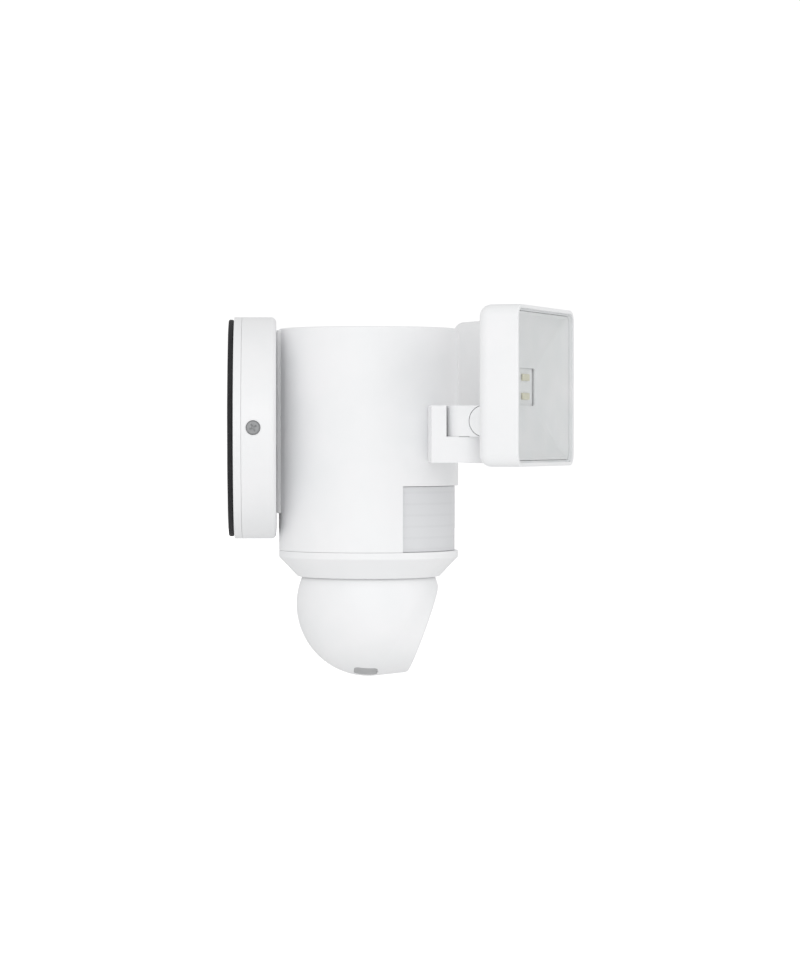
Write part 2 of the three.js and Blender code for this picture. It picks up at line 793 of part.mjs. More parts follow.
function yoke() {
  const outerTurret = turretTop - ballZ;
  const groove = hubRadius - 1.7;
  const clipTop = clipBottom + clipThickness + fitGap;
  const hub = turned(
    [
      [hubBore, turretBottom],
      [turretRadius, turretBottom],
      [turretRadius, turretTop],
      [hubRadius, turretTop],
      [hubRadius, clipBottom - fitGap],
      [groove, clipBottom - fitGap],
      [groove, clipTop],
      [hubRadius, clipTop],
      [hubRadius, hubTop],
      [hubBore, hubTop],
    ],
    32,
  );
  const armEnd = yokeArmHalfDepth + 1.5;
  let shape = solidOf(at(hub, 0, 0, -ballZ));
  for (const side of [-1, 1]) {
    const [x0, x1] = span(side * yokeArmInner, side * (yokeArmInner + yokeArmThickness));
    shape = join(
      shape,
      block(x0, x1, -yokeArmHalfDepth, yokeArmHalfDepth, 0, outerTurret - 1),
      across(rod(armEnd, x0, x1, 20)),
    );
    shape = cut(shape, across(rod(trunnionRadius + runGap, x0 - 1, x1 + 1, 20)));
  }
  const [motorY, motorZ] = leaning(tiltCentre, tiltMotorLean);
  const plateBack = tiltGearX - 1.3;
  const plateFront = plateBack - 2.5;
  const hanger = [
    [-yokeArmHalfDepth, outerTurret - 1],
    [-yokeArmHalfDepth, motorZ + 4],
    [motorY - tiltMotorRadius, motorZ],
    [motorY + tiltMotorRadius, motorZ],
    [yokeArmHalfDepth, ballRadius - 5],
    [yokeArmHalfDepth, outerTurret - 1],
  ];
  const plate = join(
    across(drawn(hanger, plateFront, plateBack)),
    at(across(rod(tiltMotorRadius, plateFront, plateBack)), 0, motorY, motorZ),
  );
  const shaftHole = across(rod(screwRadius + runGap, plateFront - 1, plateBack + 1, 16));
  return join(shape, cut(plate, at(shaftHole, 0, motorY, motorZ)));
}

// A closed form about Z. For an angle about Z, profileAt gives the [radius, height] points from one pole
// to the other, always the same number of them.
function shaped(profileAt, segments) {
  const columns = Array.from({ length: segments }, (_, i) => {
    const angle = (i / segments) * 2 * Math.PI;
    return profileAt(angle).map(([r, z]) => [r * Math.cos(angle), r * Math.sin(angle), z]);
  });
  const count = columns[0].length;
  const index = [];
  for (let i = 0; i < segments; i++) {
    const here = i * count;
    const next = ((i + 1) % segments) * count;
    for (let j = 0; j < count - 1; j++) {
      index.push(here + j, next + j, next + j + 1, here + j, next + j + 1, here + j + 1);
    }
  }
  return new THREE.BufferGeometry()
    .setAttribute("position", new THREE.Float32BufferAttribute(columns.flat(2), 3))
    .setIndex(index);
}

// The ball, its view axis along Z and its underside towards -Y: an arc from the rear pole, a straight run
// that leaves it as a tangent, and a flat front whose edge is a circle that sits low.
function ballForm(radius, flat, inset, soft, steps) {
  const ownEdge = Math.sqrt(radius ** 2 - flat ** 2);
  const profileAt = (angle) => {
    const down = angle + Math.PI / 2;
    const half = Math.sqrt(faceRadius ** 2 - (faceDrop * Math.sin(down)) ** 2);
    const edge = Math.max(faceDrop * Math.cos(down) + half - inset, ownEdge);
    const run = Math.sqrt(Math.max(edge ** 2 + flat ** 2 - radius ** 2, 0));
    const leave = Math.atan2(edge, flat) + Math.atan2(run, radius);
    const arcEnd = leave + Math.max(soft - run, 0) / radius;
    const back = Math.min(soft, run);
    const last = [edge + back * Math.cos(leave), flat - back * Math.sin(leave)];
    const first = run < soft ? [radius * Math.sin(arcEnd), radius * Math.cos(arcEnd)] : last;
    const body = arc(0, 0, radius, Math.PI, arcEnd, steps).map(([z, r]) => [r, z]);
    const corner = [0, 0.35, 0.7, 1].map((t) => {
      const shares = [(1 - t) ** 2, 2 * t * (1 - t), t ** 2];
      return [
        shares[0] * first[0] + shares[1] * edge + shares[2] * (edge - soft),
        shares[0] * first[1] + (shares[1] + shares[2]) * flat,
      ];
    });
    body[0][0] = 0;
    return [...body, ...corner, [0, flat]];
  };
  return facing(shaped(profileAt, 36));
}

// The glass's outline drawn in by inset, from z0 to z1 out from the ball's centre.
function glassForm(inset, z0, z1) {
  const width = 2 * (glassRadius - inset);
  const outline = roundedRectangle(width, width + glassStretch, width / 2 - 0.01, 9);
  return at(facing(drawn(outline, z0, z1)), 0, 0, -glassStretch / 2);
}

// Turns a shape from the service cover's own frame, where -Z points out of the ball,
// into the ball's frame, where the view axis is level.
function underBall(shape) {
  const geometry = shape.isBufferGeometry ? shape : geometryOf(shape);
  return geometry.rotateY(serviceLean).rotateX(serviceTurn - restTilt);
}

function serviceOutline(extra) {
  return roundedRectangle(serviceWidth + 2 * extra, serviceLength + 2 * extra, serviceCorner + extra);
}

// A groove for a fingernail, across the service cover's rear edge.
function nailNotch() {
  const groove = rod(nailNotchRadius, -ballRadius - 1, nailNotchDepth - ballRadius, 12);
  return underBall(at(groove, 0, -serviceLength / 2, 0));
}

function ballShell() {
  const reach = ballRadius + 1;
  const slotHalf = yokeArmInner + yokeArmThickness + 2;
  const armAngle = Math.asin(yokeArmHalfDepth / (ballRadius - ballWall)) + 0.035;
  const slotFront = -(armAngle + tiltUp) + restTilt;
  const slotBack = armAngle + tiltDown + restTilt;
  const slot = [
    leaning(reach * 0.55, slotFront),
    leaning(reach * 1.4, slotFront),
    leaning(reach * 1.4, slotBack),
    leaning(reach * 0.55, slotBack),
  ];
  const bossInner = yokeArmInner + yokeArmThickness + runGap;
  const bossRadius = trunnionRadius + 3;
  let shell = cut(
    ballForm(ballRadius, ballFlat, 0, ballFlatSoft, 12),
    ballForm(ballRadius - ballWall, glassSeat - glassLip, ballWall + fitGap, 0, 8),
    glassForm(-fitGap, glassSeat, ballFlat + 1),
    glassForm(glassLip, glassSeat - glassLip - 1, glassSeat + 1),
  );
  for (const side of [-1, 1]) {
    const [x0, x1] = span(side * bossInner, side * (ballRadius - ballWall / 2 - 0.6));
    const [h0, h1] = span(side * (bossInner - 1), side * (bossInner + 6));
    const bore = across(rod(trunnionRadius + fitGap, h0, h1, 20));
    const boss = cut(across(rod(bossRadius, x0, x1, 20)), bore);
    shell = join(shell, boss);
  }
  const pocketTop = -(ballRadius - servicePocket);
  const floor = pocketTop + 1;
  const pocket = common(
    underBall(drawn(serviceOutline(fitGap + 1.2), -(ballRadius - 0.5), floor)),
    new THREE.SphereGeometry(ballRadius - ballWall / 2, 32, 20),
  );
  const well = underBall(drawn(serviceOutline(fitGap), -ballRadius - 5, pocketTop));
  const [buttonX, buttonY] = buttonPlace();
  const buttonWay = rod(buttonRadius + runGap, pocketTop - 1, floor + 1, 16);
  const buttonHole = underBall(at(buttonWay, buttonX, buttonY, 0));
  const yokeSlot = across(drawn(slot, -slotHalf, slotHalf));
  return cut(join(shell, pocket), yokeSlot, well, buttonHole, nailNotch());
}

function buttonPlace() {
  return [0, serviceLength / 2 - buttonRadius - 1.2];
}

function serviceCover() {
  const skin = common(
    underBall(drawn(serviceOutline(0), -ballRadius - 1, -(ballRadius - 2 * ballWall))),
    new THREE.SphereGeometry(ballRadius - 0.05, 36, 24),
  );
  return cut(skin, nailNotch());
}

function frontGlass() {
  const front = ballFlat - fitGap / 2;
  const wideHole = at(rod(wideLensRadius + fitGap, 0, ballRadius), 0, lensOffset, 0);
  const teleHole = at(rod(teleLensRadius + fitGap, 0, ballRadius), 0, -lensOffset, 0);
  return cut(glassForm(0, front - glassThickness, front), facing(wideHole), facing(teleHole));
}

function lensBarrel(radius, offset) {
  const front = ballFlat - 0.3;
  const rim = radius - 1;
  const profile = [
    [0, cameraBoardFace + fitGap],
    [radius, cameraBoardFace + fitGap],
    [radius, front - 0.3],
    [radius - 0.3, front],
    [rim, front],
    [rim, front - 1.2],
    [rim * 0.55, front - 0.75],
    [0, front - 0.6],
  ];
  return facing(at(turned(profile, 24), 0, offset, 0));
}

function cameraFrame() {
  const half = tiltGearX - 1.3;
  const plateFront = cameraBoardFace - boardThickness - fitGap;
  const boardHalf = cameraBoardHalf[1];
  const trunnionEnd = yokeArmInner + yokeArmThickness + runGap + 5;
  return join(
    block(-half, half, -plateFront + 1, 5, -cameraFrameHalf, cameraFrameHalf),
    block(-boardHalf, boardHalf, -plateFront, -plateFront + 2, -boardHalf, boardHalf),
    across(rod(trunnionRadius, -trunnionEnd, trunnionEnd, 20)),
  );
}

function tiltGear() {
  // The sector's teeth run from where the pinion stands with the ball tilted right down to right up.
  const pitchAngle = (2 * Math.PI) / tiltGearTeeth;
  const upright = Math.PI / 2 - tiltMotorLean - restTilt;
  const first = Math.floor((upright - tiltDown) / pitchAngle) - 2;
  const last = Math.ceil((upright + tiltUp) / pitchAngle) + 2;
  const outline = gearOutline(tiltGearTeeth, tiltModule, [first, last], trunnionRadius + 4);
  const phase = upright - Math.round(upright / pitchAngle) * pitchAngle;
  return cut(
    across(drawn(outline, tiltGearX, tiltGearX + tiltGearWidth).rotateZ(phase)),
    across(rod(trunnionRadius + fitGap, tiltGearX - 1, tiltGearX + tiltGearWidth + 1, 20)),
  );
}

function tiltPinion() {
  const toGear = Math.PI / 2 - tiltMotorLean + Math.PI;
  const pitchAngle = (2 * Math.PI) / pinionTeeth;
  const outline = gearOutline(pinionTeeth, tiltModule);
  return join(
    across(drawn(outline, tiltGearX, tiltGearX + tiltGearWidth).rotateZ(toGear + pitchAngle / 2)),
    across(rod(screwRadius, tiltGearX - 5.6, tiltGearX + 1, 16)),
  );
}

function buildCamera(fixture) {
  const ball = newGroup(fixture, 0, axisY, ballZ);
  add(ball, "yoke", yoke(), innerPlastic);
  const gearBottom = turretTop + fitGap - ballZ;
  const panGear = cut(
    drawn(gearOutline(panGearTeeth, panModule), gearBottom, gearTop - ballZ),
    rod(hubRadius + fitGap, gearBottom - 1, gearTop - ballZ + 1, 32),
  );
  add(ball, "pan_gear", panGear, acetal);
  const clip = [
    [hubRadius - 1.4, clipBottom],
    [hubRadius + 4, clipBottom],
    [hubRadius + 4, clipBottom + clipThickness],
    [hubRadius - 1.4, clipBottom + clipThickness],
  ];
  add(ball, "pan_clip", at(turned(clip, 28), 0, 0, -ballZ), steel);

  const [motorY, motorZ] = leaning(tiltCentre, tiltMotorLean);
  const motorFace = tiltGearX - 1.3 - 2.5 - fitGap;
  const motor = newGroup(ball, 0, motorY, motorZ);
  const motorCase = cut(
    across(rod(tiltMotorRadius, motorFace - tiltMotorLength, motorFace, 24)),
    across(rod(screwRadius + runGap, motorFace - 3, motorFace + 1, 16)),
  );
  add(motor, "tilt_motor", motorCase, aluminium);
  add(motor, "tilt_pinion", tiltPinion(), acetal);

  const head = newGroup(ball, 0, 0, 0);
  head.rotation.x = restTilt;
  add(head, "ball_shell", ballShell(), whitePlastic);
  add(head, "front_glass", frontGlass(), blackGlass);
  add(head, "wide_lens", lensBarrel(wideLensRadius, lensOffset), lensGlass);
  add(head, "tele_lens", lensBarrel(teleLensRadius, -lensOffset), lensGlass);
  const boardBack = cameraBoardFace - boardThickness;
  const [boardX, boardZ] = cameraBoardHalf;
  add(
    head,
    "camera_board",
    block(-boardX, boardX, -cameraBoardFace, -boardBack, -boardZ, boardZ),
    boardGreen,
  );
  add(head, "camera_frame", cameraFrame(), innerPlastic);
  add(head, "tilt_gear", tiltGear(), acetal);

  const pocketFloor = -(ballRadius - servicePocket);
  const [buttonX, buttonY] = buttonPlace();
  const socketEnd = buttonY - buttonRadius - 0.8;
  const socketStart = -serviceLength / 2 + 1;
  const socketHalf = serviceWidth / 2 - 1;
  const socketBack = pocketFloor - fitGap;
  const socket = cut(
    block(-socketHalf, socketHalf, socketStart, socketEnd, socketBack - 2.6, socketBack),
    block(1 - socketHalf, socketHalf - 1, socketStart + 1, socketEnd - 1, socketBack - 3, socketBack - 1.1),
  );
  const button = at(rod(buttonRadius, pocketFloor - 2.4, pocketFloor + 2, 16), buttonX, buttonY, 0);
  add(head, "card_socket", underBall(socket), darkPlastic);
  add(head, "reset_button", underBall(button), darkPlastic);
  add(head, "service_cover", serviceCover(), greyPlastic);
}

// ---- Arms and lamps ----

function lampBracket(side) {
  const armHeight = armTop - armBottom;
  const middleZ = (armTop + armBottom) / 2;
  const middleY = armFront + armThickness / 2;
  const section = roundedRectangle(armThickness, armHeight, armCorner, 2);
  const inner = Math.sqrt(bodyRadius ** 2 - (armFront + armThickness) ** 2) - 12;
  const [x0, x1] = span(side * inner, side * armReach);
  const leg = cut(
    at(across(drawn(section, x0, x1)), 0, middleY, middleZ),
    rod(bodyRadius + fitGap, bodyBottom, bodyTop, 72),
  );
  const centre = side * panAxisX;
  const foot = join(
    block(centre - knuckleRadius, centre + knuckleRadius, panAxisY, armFront + 2, armBottom, footTop),
    at(rod(knuckleRadius, armBottom, footTop, 32), centre, panAxisY, 0),
  );
  const bore = at(rod(pivotRadius + runGap, armBottom - 1, footTop + 1, 20), centre, panAxisY, 0);
  const headTop = armBottom + fitGap + pivotHeadHeight + fitGap;
  const headWell = rod(pivotHeadRadius + fitGap, armBottom - 1, headTop, 24);
  const rootTenon = common(tenon(side), rod(bodyRadius + 2, bodyBottom, bodyTop, 72));
  return cut(join(leg, foot, rootTenon), bore, at(headWell, centre, panAxisY, 0));
}

function knuckle() {
  const top = armTop;
  const stem = join(
    rod(knuckleRadius, knuckleBottom, top, 32),
    block(-knuckleRadius, knuckleRadius, -tiltAxisReach, 0, knuckleBottom, top),
  );
  const tongueHalf = lugInner - runGap;
  const sides = [-1, 1].map((side) => {
    const [x0, x1] = span(side * tongueHalf, side * (knuckleRadius + 1));
    return at(across(rod(barrelRadius + runGap, x0, x1, 36)), 0, -tiltAxisReach, tiltAxisZ);
  });
  const barrel = across(rod(barrelRadius, -tongueHalf, tongueHalf, 32));
  const tongue = at(barrel, 0, -tiltAxisReach, tiltAxisZ);
  const pinHole = at(across(rod(tiltPinRadius + runGap, -12, 12, 20)), 0, -tiltAxisReach, tiltAxisZ);
  const pivotHole = rod(pivotRadius + fitGap, knuckleBottom - 1, knuckleBottom + 8.5, 20);
  return cut(join(cut(stem, ...sides), tongue), pinHole, pivotHole);
}

function panPivot() {
  const headTop = armBottom + fitGap + pivotHeadHeight;
  return turned(
    [
      [0, armBottom + fitGap],
      [pivotHeadRadius, armBottom + fitGap],
      [pivotHeadRadius, headTop],
      [pivotRadius, headTop],
      [pivotRadius, knuckleBottom + 8],
      [0, knuckleBottom + 8],
    ],
    20,
  );
}

// The lamp's outline drawn in by inset, at the height z of a stack.
function lampOutline(inset, z) {
  const corner = Math.max(lampCorner - inset, 0.5);
  return { points: roundedRectangle(lampWidth - 2 * inset, lampHeight - 2 * inset, corner), z };
}

function filletRings(radius, startZ, direction, steps, inset = 0) {
  return Array.from({ length: steps + 1 }, (_, i) => {
    const angle = (i / steps) * (Math.PI / 2);
    const side = inset + radius * (1 - Math.sin(angle));
    return lampOutline(side, startZ + direction * radius * (1 - Math.cos(angle)));
  });
}

function lampHousing(side) {
  const outer = skinned([
    ...filletRings(lampRearFillet, lampRearReach, 1, 4),
    ...filletRings(lampEdge, lampFront, -1, 2).reverse(),
  ]);
  const coverSeat = lampFront - fitGap - lensSheet - fitGap;
  const bore = skinned([
    ...filletRings(lampRearFillet - lampWall, lampRearReach + lampWall, 1, 2, lampWall + lensLedge),
    lampOutline(lampWall + lensLedge, coverSeat),
    lampOutline(lampWall, coverSeat),
    lampOutline(lampWall, lampFront + 1),
  ]);
  const boardBack = lampFront - reflectorDepth - reflectorSheet - 2 * fitGap - boardThickness;
  const pedestal = drawn(
    roundedRectangle(reflectorFloor[0] + 2, reflectorFloor[1] + 2, 2),
    lampRearReach + 1,
    boardBack - fitGap,
  );
  const tray = at(join(cut(facing(outer), facing(bore)), facing(pedestal)), 0, 0, lampMiddleZ);
  const lugOuter = knuckleRadius;
  const pin = tiltPinRadius + fitGap;
  const lugs = [-1, 1].map((way) => {
    const [x0, x1] = span(way * lugInner, way * lugOuter);
    const low = tiltAxisZ - barrelRadius;
    const high = tiltAxisZ + barrelRadius;
    const barrel = at(across(rod(barrelRadius, x0, x1, 32)), 0, -tiltAxisReach, tiltAxisZ);
    return join(barrel, block(x0, x1, -lampRearReach - 1, -tiltAxisReach, low, high));
  });
  const [p0, p1] = span(side * (lugOuter - 1), -side * (lugOuter + 1));
  const pinHole = at(across(rod(pin, p0, p1, 20)), 0, -tiltAxisReach, tiltAxisZ);
  return cut(join(tray, ...lugs), pinHole);
}

function lampCover() {
  const inset = lampWall + fitGap;
  const front = lampFront - fitGap;
  const sheet = skinned([
    lampOutline(inset, front - lensSheet),
    lampOutline(inset, front - lampEdge),
    lampOutline(inset + lampEdge, front),
  ]);
  return at(facing(sheet), 0, 0, lampMiddleZ);
}

function lampReflector() {
  const mouthZ = lampFront - 3 * fitGap - lensSheet;
  const floorZ = lampFront - reflectorDepth;
  const inset = lampWall + lensLedge + fitGap;
  const floorRing = (extra, z) => ({
    points: roundedRectangle(reflectorFloor[0] + extra, reflectorFloor[1] + extra, 1.5),
    z,
  });
  const frame = skinned(
    [
      lampOutline(inset, mouthZ - reflectorSheet),
      lampOutline(inset, mouthZ),
      lampOutline(inset + 1.5, mouthZ),
      floorRing(0, floorZ),
      floorRing(0, floorZ - reflectorSheet),
      floorRing(2, floorZ - reflectorSheet),
      lampOutline(inset + 1.5, mouthZ - reflectorSheet),
    ],
    true,
  );
  return at(facing(frame), 0, 0, lampMiddleZ);
}

function buildLamp(fixture, name, side) {
  add(newGroup(fixture, 0, axisY, 0), "bracket_" + name, lampBracket(side), whitePlastic);
  const stand = newGroup(fixture, side * panAxisX, axisY + panAxisY, 0);
  stand.rotation.z = side * lampPanAngle;
  add(stand, "knuckle_" + name, knuckle(), whitePlastic);
  add(stand, "pan_pivot_" + name, panPivot(), steel);
  add(stand, "lamp_housing_" + name, lampHousing(side), whitePlastic);
  add(stand, "lamp_cover_" + name, lampCover(), clearPlastic);
  add(stand, "lamp_reflector_" + name, lampReflector(), reflectorWhite);

  const boardFront = lampFront - reflectorDepth - reflectorSheet - 2 * fitGap;
  const halfX = reflectorFloor[0] / 2 + 2;
  const halfZ = reflectorFloor[1] / 2 + 2;
  add(
    stand,
    "led_board_" + name,
    block(
      -halfX,
      halfX,
      -boardFront,
      -boardFront + boardThickness,
      lampMiddleZ - halfZ,
      lampMiddleZ + halfZ,
    ),
    reflectorWhite,
  );
  const [ledLength, ledHeight, ledThickness] = ledSize;
  const ledFront = -(boardFront + fitGap + ledThickness);
  for (const [level, way] of [["upper", 1], ["lower", -1]]) {
    const bottom = lampMiddleZ + (way * ledSpacing - ledHeight) / 2;
    const led = onBoard([ledLength, ledThickness, ledHeight], 0, ledFront, bottom);
    add(stand, "led_" + level + "_" + name, led, ledPhosphor);
  }
  const pinHalf = knuckleRadius - 1 - fitGap;
  const pin = at(across(rod(tiltPinRadius, -pinHalf, pinHalf, 20)), 0, -tiltAxisReach, tiltAxisZ);
  add(stand, "tilt_pin_" + name, pin, steel);
}

const fixture = new THREE.Group();
buildCanopy(fixture);
buildBody(fixture);
buildCamera(fixture);
buildLamp(fixture, "left", -1);
buildLamp(fixture, "right", 1);

export default fixture;
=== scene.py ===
import json
import math
import bmesh
import bpy
from mathutils import Matrix, Vector, noise


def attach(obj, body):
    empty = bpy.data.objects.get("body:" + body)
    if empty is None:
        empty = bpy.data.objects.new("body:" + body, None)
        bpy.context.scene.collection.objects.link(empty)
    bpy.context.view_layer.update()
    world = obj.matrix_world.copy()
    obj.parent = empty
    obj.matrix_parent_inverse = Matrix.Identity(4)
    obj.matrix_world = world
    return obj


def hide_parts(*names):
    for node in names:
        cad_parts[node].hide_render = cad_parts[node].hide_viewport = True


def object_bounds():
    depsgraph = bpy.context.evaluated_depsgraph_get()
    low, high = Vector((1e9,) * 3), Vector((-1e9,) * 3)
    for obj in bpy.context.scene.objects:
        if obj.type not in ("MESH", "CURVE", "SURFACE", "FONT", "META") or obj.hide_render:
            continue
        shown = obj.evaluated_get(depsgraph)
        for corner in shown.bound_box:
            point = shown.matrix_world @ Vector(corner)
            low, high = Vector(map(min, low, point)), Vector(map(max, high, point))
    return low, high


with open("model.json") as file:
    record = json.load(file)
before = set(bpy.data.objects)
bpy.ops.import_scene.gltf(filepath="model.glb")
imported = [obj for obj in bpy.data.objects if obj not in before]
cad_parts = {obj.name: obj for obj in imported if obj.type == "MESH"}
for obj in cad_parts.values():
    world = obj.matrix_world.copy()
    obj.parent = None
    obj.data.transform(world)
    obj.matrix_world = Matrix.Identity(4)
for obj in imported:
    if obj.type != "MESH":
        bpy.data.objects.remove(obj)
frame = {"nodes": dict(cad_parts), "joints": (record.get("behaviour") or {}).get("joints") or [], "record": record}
nodes = frame["nodes"]
cadLow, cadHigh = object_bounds()
joints = {joint["name"]: joint for joint in frame["joints"]}
scene = bpy.context.scene
print("frame loaded,", len(nodes), "nodes")

# Shapes are worked out in millimetres and scaled to metres when a piece is placed.
mm = 0.001
quarter = math.pi / 2
sides = (("left", -1), ("right", 1))


# Where things are, from the frame

def localBox(node, placing=Matrix.Identity(4)):
    toLocal = placing.inverted()
    points = [toLocal @ (vertex.co / mm) for vertex in nodes[node].data.vertices]
    low = Vector([min(point[i] for point in points) for i in range(3)])
    high = Vector([max(point[i] for point in points) for i in range(3)])
    return low, high


def jointPoint(name):
    return Vector(joints[name]["pos_m"]) / mm


facing = Matrix.Rotation(quarter, 4, "X")  # Z runs out from the wall, Y up
across = Matrix(((0, 0, 1, 0), (1, 0, 0, 0), (0, 1, 0, 0), (0, 0, 0, 1)))  # Z runs along X, Y up

bodyAxis = jointPoint("camera_pan")
bodyPlace = Matrix.Translation((bodyAxis.x, bodyAxis.y, 0))
ballCentre = jointPoint("camera_tilt")
lensRise = (sum(localBox("wide_lens"), Vector()) - sum(localBox("tele_lens"), Vector())) / 2
restTilt = math.atan2(-lensRise.y, lensRise.z)
ballPlace = Matrix.Translation(ballCentre) @ Matrix.Rotation(restTilt, 4, "X")
pullAxis = Vector(joints["service_cover_pull"]["axis"])
serviceTurn = Matrix.Rotation(math.atan2(pullAxis.y, -pullAxis.z), 4, "X")
serviceLean = Matrix.Rotation(math.asin(-pullAxis.x), 4, "Y")
servicePlace = Matrix.Translation(ballCentre) @ serviceTurn @ serviceLean
lampPlaces = {}
for name, side in sides:
    panPoint = jointPoint("lamp_pan_" + name)
    tiltAxis = joints["lamp_tilt_" + name]["axis"]
    swing = Matrix.Rotation(math.atan2(tiltAxis[1], tiltAxis[0]), 4, "Z")
    lampPlaces[name] = Matrix.Translation((panPoint.x, panPoint.y, 0)) @ swing


# Shapes

def newObject(vertices, faces):
    mesh = bpy.data.meshes.new("shape")
    mesh.from_pydata(vertices, [], faces)
    work = bmesh.new()
    work.from_mesh(mesh)
    bmesh.ops.remove_doubles(work, verts=work.verts, dist=1e-5)
    bmesh.ops.recalc_face_normals(work, faces=work.faces)
    work.to_mesh(mesh)
    work.free()
    shape = bpy.data.objects.new("shape", mesh)
    scene.collection.objects.link(shape)
    return shape


def arc(centre, radius, start, end, steps=8):
    angles = [start + (end - start) * i / steps for i in range(steps + 1)]
    return [(centre[0] + radius * math.cos(a), centre[1] + radius * math.sin(a)) for a in angles]


# An outline through corners of (a, b, radius), each rounded by its radius.
def rounded(corners, steps=6):
    path = []
    for i, (a, b, radius) in enumerate(corners):
        if not radius:
            path.append((a, b))
            continue
        here = Vector((a, b))
        back = (Vector(corners[i - 1][:2]) - here).normalized()
        ahead = (Vector(corners[(i + 1) % len(corners)][:2]) - here).normalized()
        half = back.angle(ahead) / 2
        middle = here + (back + ahead).normalized() * radius / math.sin(half)
        first = here + back * radius / math.tan(half) - middle
        last = here + ahead * radius / math.tan(half) - middle
        start = math.atan2(first.y, first.x)
        turn = (math.atan2(last.y, last.x) - start + math.pi) % (2 * math.pi) - math.pi
        path += arc(middle, radius, start, start + turn, steps)
    return path


def roundedOutline(width, height, corner, steps=8):
    x, y = width / 2 - corner, height / 2 - corner
    middles = ((x, y), (-x, y), (-x, -y), (x, -y))
    return [p for i, middle in enumerate(middles)
            for p in arc(middle, corner, i * quarter, (i + 1) * quarter, steps)]


# A solid of revolution about Z. The profile of (radius, height) closes on itself or starts on the axis.
# With sweep it turns only from one angle to the other and its ends are capped.
def turned(profile, segments=180, sweep=None):
    start, end = sweep or (0, 2 * math.pi)
    count = segments + 1 if sweep else segments
    vertices, rings = [], []
    for radius, height in profile:
        size = 1 if radius == 0 else count
        rings.append([len(vertices) + i for i in range(size)])
        for i in range(size):
            angle = start + (end - start) * i / segments
            vertices.append((radius * math.cos(angle), radius * math.sin(angle), height))
    pairs = list(zip(rings, rings[1:]))
    if profile[0][0] > 0:
        pairs.append((rings[-1], rings[0]))
    faces = []
    for low, high in pairs:
        for i in range(segments):
            j = i + 1 if sweep else (i + 1) % count
            corners = [low[i % len(low)], low[j % len(low)], high[j % len(high)], high[i % len(high)]]
            face = list(dict.fromkeys(corners))
            if len(face) > 2:
                faces.append(face)
    if sweep:
        faces += [[ring[0] for ring in rings], [ring[-1] for ring in rings]]
    return newObject(vertices, faces)


# Like turned, but profileAt gives the profile for each angle. It runs from pole to pole.
def spun(profileAt, segments):
    columns = [profileAt(i / segments * 2 * math.pi) for i in range(segments)]
    count = len(columns[0])
    vertices = []
    for i, column in enumerate(columns):
        angle = i / segments * 2 * math.pi
        vertices += [(radius * math.cos(angle), radius * math.sin(angle), height)
                     for radius, height in column]
    faces = []
    for i in range(segments):
        here, after = i * count, (i + 1) % segments * count
        faces += [[here + j, after + j, after + j + 1, here + j + 1] for j in range(count - 1)]
    return newObject(vertices, faces)


# Skins a stack of outlines with the same number of points, each (points, height), and caps its ends.
def stacked(rings, closed=False):
    count = len(rings[0][0])
    vertices = [(x, y, z) for points, z in rings for x, y in points]
    faces = []
    for i in range(len(rings) if closed else len(rings) - 1):
        low, high = i * count, (i + 1) % len(rings) * count
        for j in range(count):
            k = (j + 1) % count
            faces.append([low + j, low + k, high + k, high + j])
    if not closed:
        faces += [list(range(count)), list(range((len(rings) - 1) * count, len(rings) * count))]
    return newObject(vertices, faces)


# A bar with a rounded rectangle for its section, and its ends rounded over by the two radii.
def bar(width, height, corner, low, high, roundLow=0, roundHigh=0, steps=8):
    def ring(inset, z):
        return roundedOutline(width - 2 * inset, height - 2 * inset, max(corner - inset, 0.02), steps), z
    rings = []
    for radius, end, way in ((roundLow, low, 1), (roundHigh, high, -1)):
        turns = [i / steps * quarter for i in range(steps + 1)] if radius else [quarter]
        stretch = [ring(radius * (1 - math.sin(a)), end + way * radius * (1 - math.cos(a))) for a in turns]
        rings += stretch if way > 0 else stretch[::-1]
    return stacked(rings)


def box(low, high):
    width, depth, height = (high[i] - low[i] for i in range(3))
    shape = bar(width, depth, 0.01, low[2], high[2])
    return moved(shape, Matrix.Translation(((low[0] + high[0]) / 2, (low[1] + high[1]) / 2, 0)))


def rod(radius, low, high, segments=64):
    return turned([(0, low), (radius, low), (radius, high), (0, high)], segments)


def moved(shape, *placings):
    for placing in placings:
        shape.data.transform(placing)
    return shape


def baked(shape):
    depsgraph = bpy.context.evaluated_depsgraph_get()
    mesh = bpy.data.meshes.new_from_object(shape.evaluated_get(depsgraph))
    shape.modifiers.clear()
    shape.data = mesh
    return shape


def combined(shape, others, operation):
    for other in others:
        modifier = shape.modifiers.new("combine", "BOOLEAN")
        modifier.operation = operation
        modifier.solver = "MANIFOLD"
        modifier.object = other
        baked(shape)
        bpy.data.objects.remove(other)
    return shape


def cut(shape, *tools):
    return combined(shape, tools, "DIFFERENCE")


def join(shape, *others):
    return combined(shape, others, "UNION")


def common(shape, other):
    return combined(shape, [other], "INTERSECT")


# Rounds the sharp edges of a finished shape.
def softened(shape, radius, segments=3, angle=40):
    work = bmesh.new()
    work.from_mesh(shape.data)
    bmesh.ops.dissolve_limit(work, angle_limit=math.radians(0.5), verts=work.verts, edges=work.edges)
    work.to_mesh(shape.data)
    work.free()
    bevel = shape.modifiers.new("soften", "BEVEL")
    bevel.width = radius
    bevel.segments = segments
    bevel.limit_method = "ANGLE"
    bevel.angle_limit = math.radians(angle)
    return baked(shape)


def evenShading(shape, sharpAngle=32):
    shape.data.shade_smooth()
    shape.data.set_sharp_from_angle(angle=math.radians(sharpAngle))
    modifier = shape.modifiers.new("evenShading", "WEIGHTED_NORMAL")
    modifier.keep_sharp = True
    modifier.weight = 90


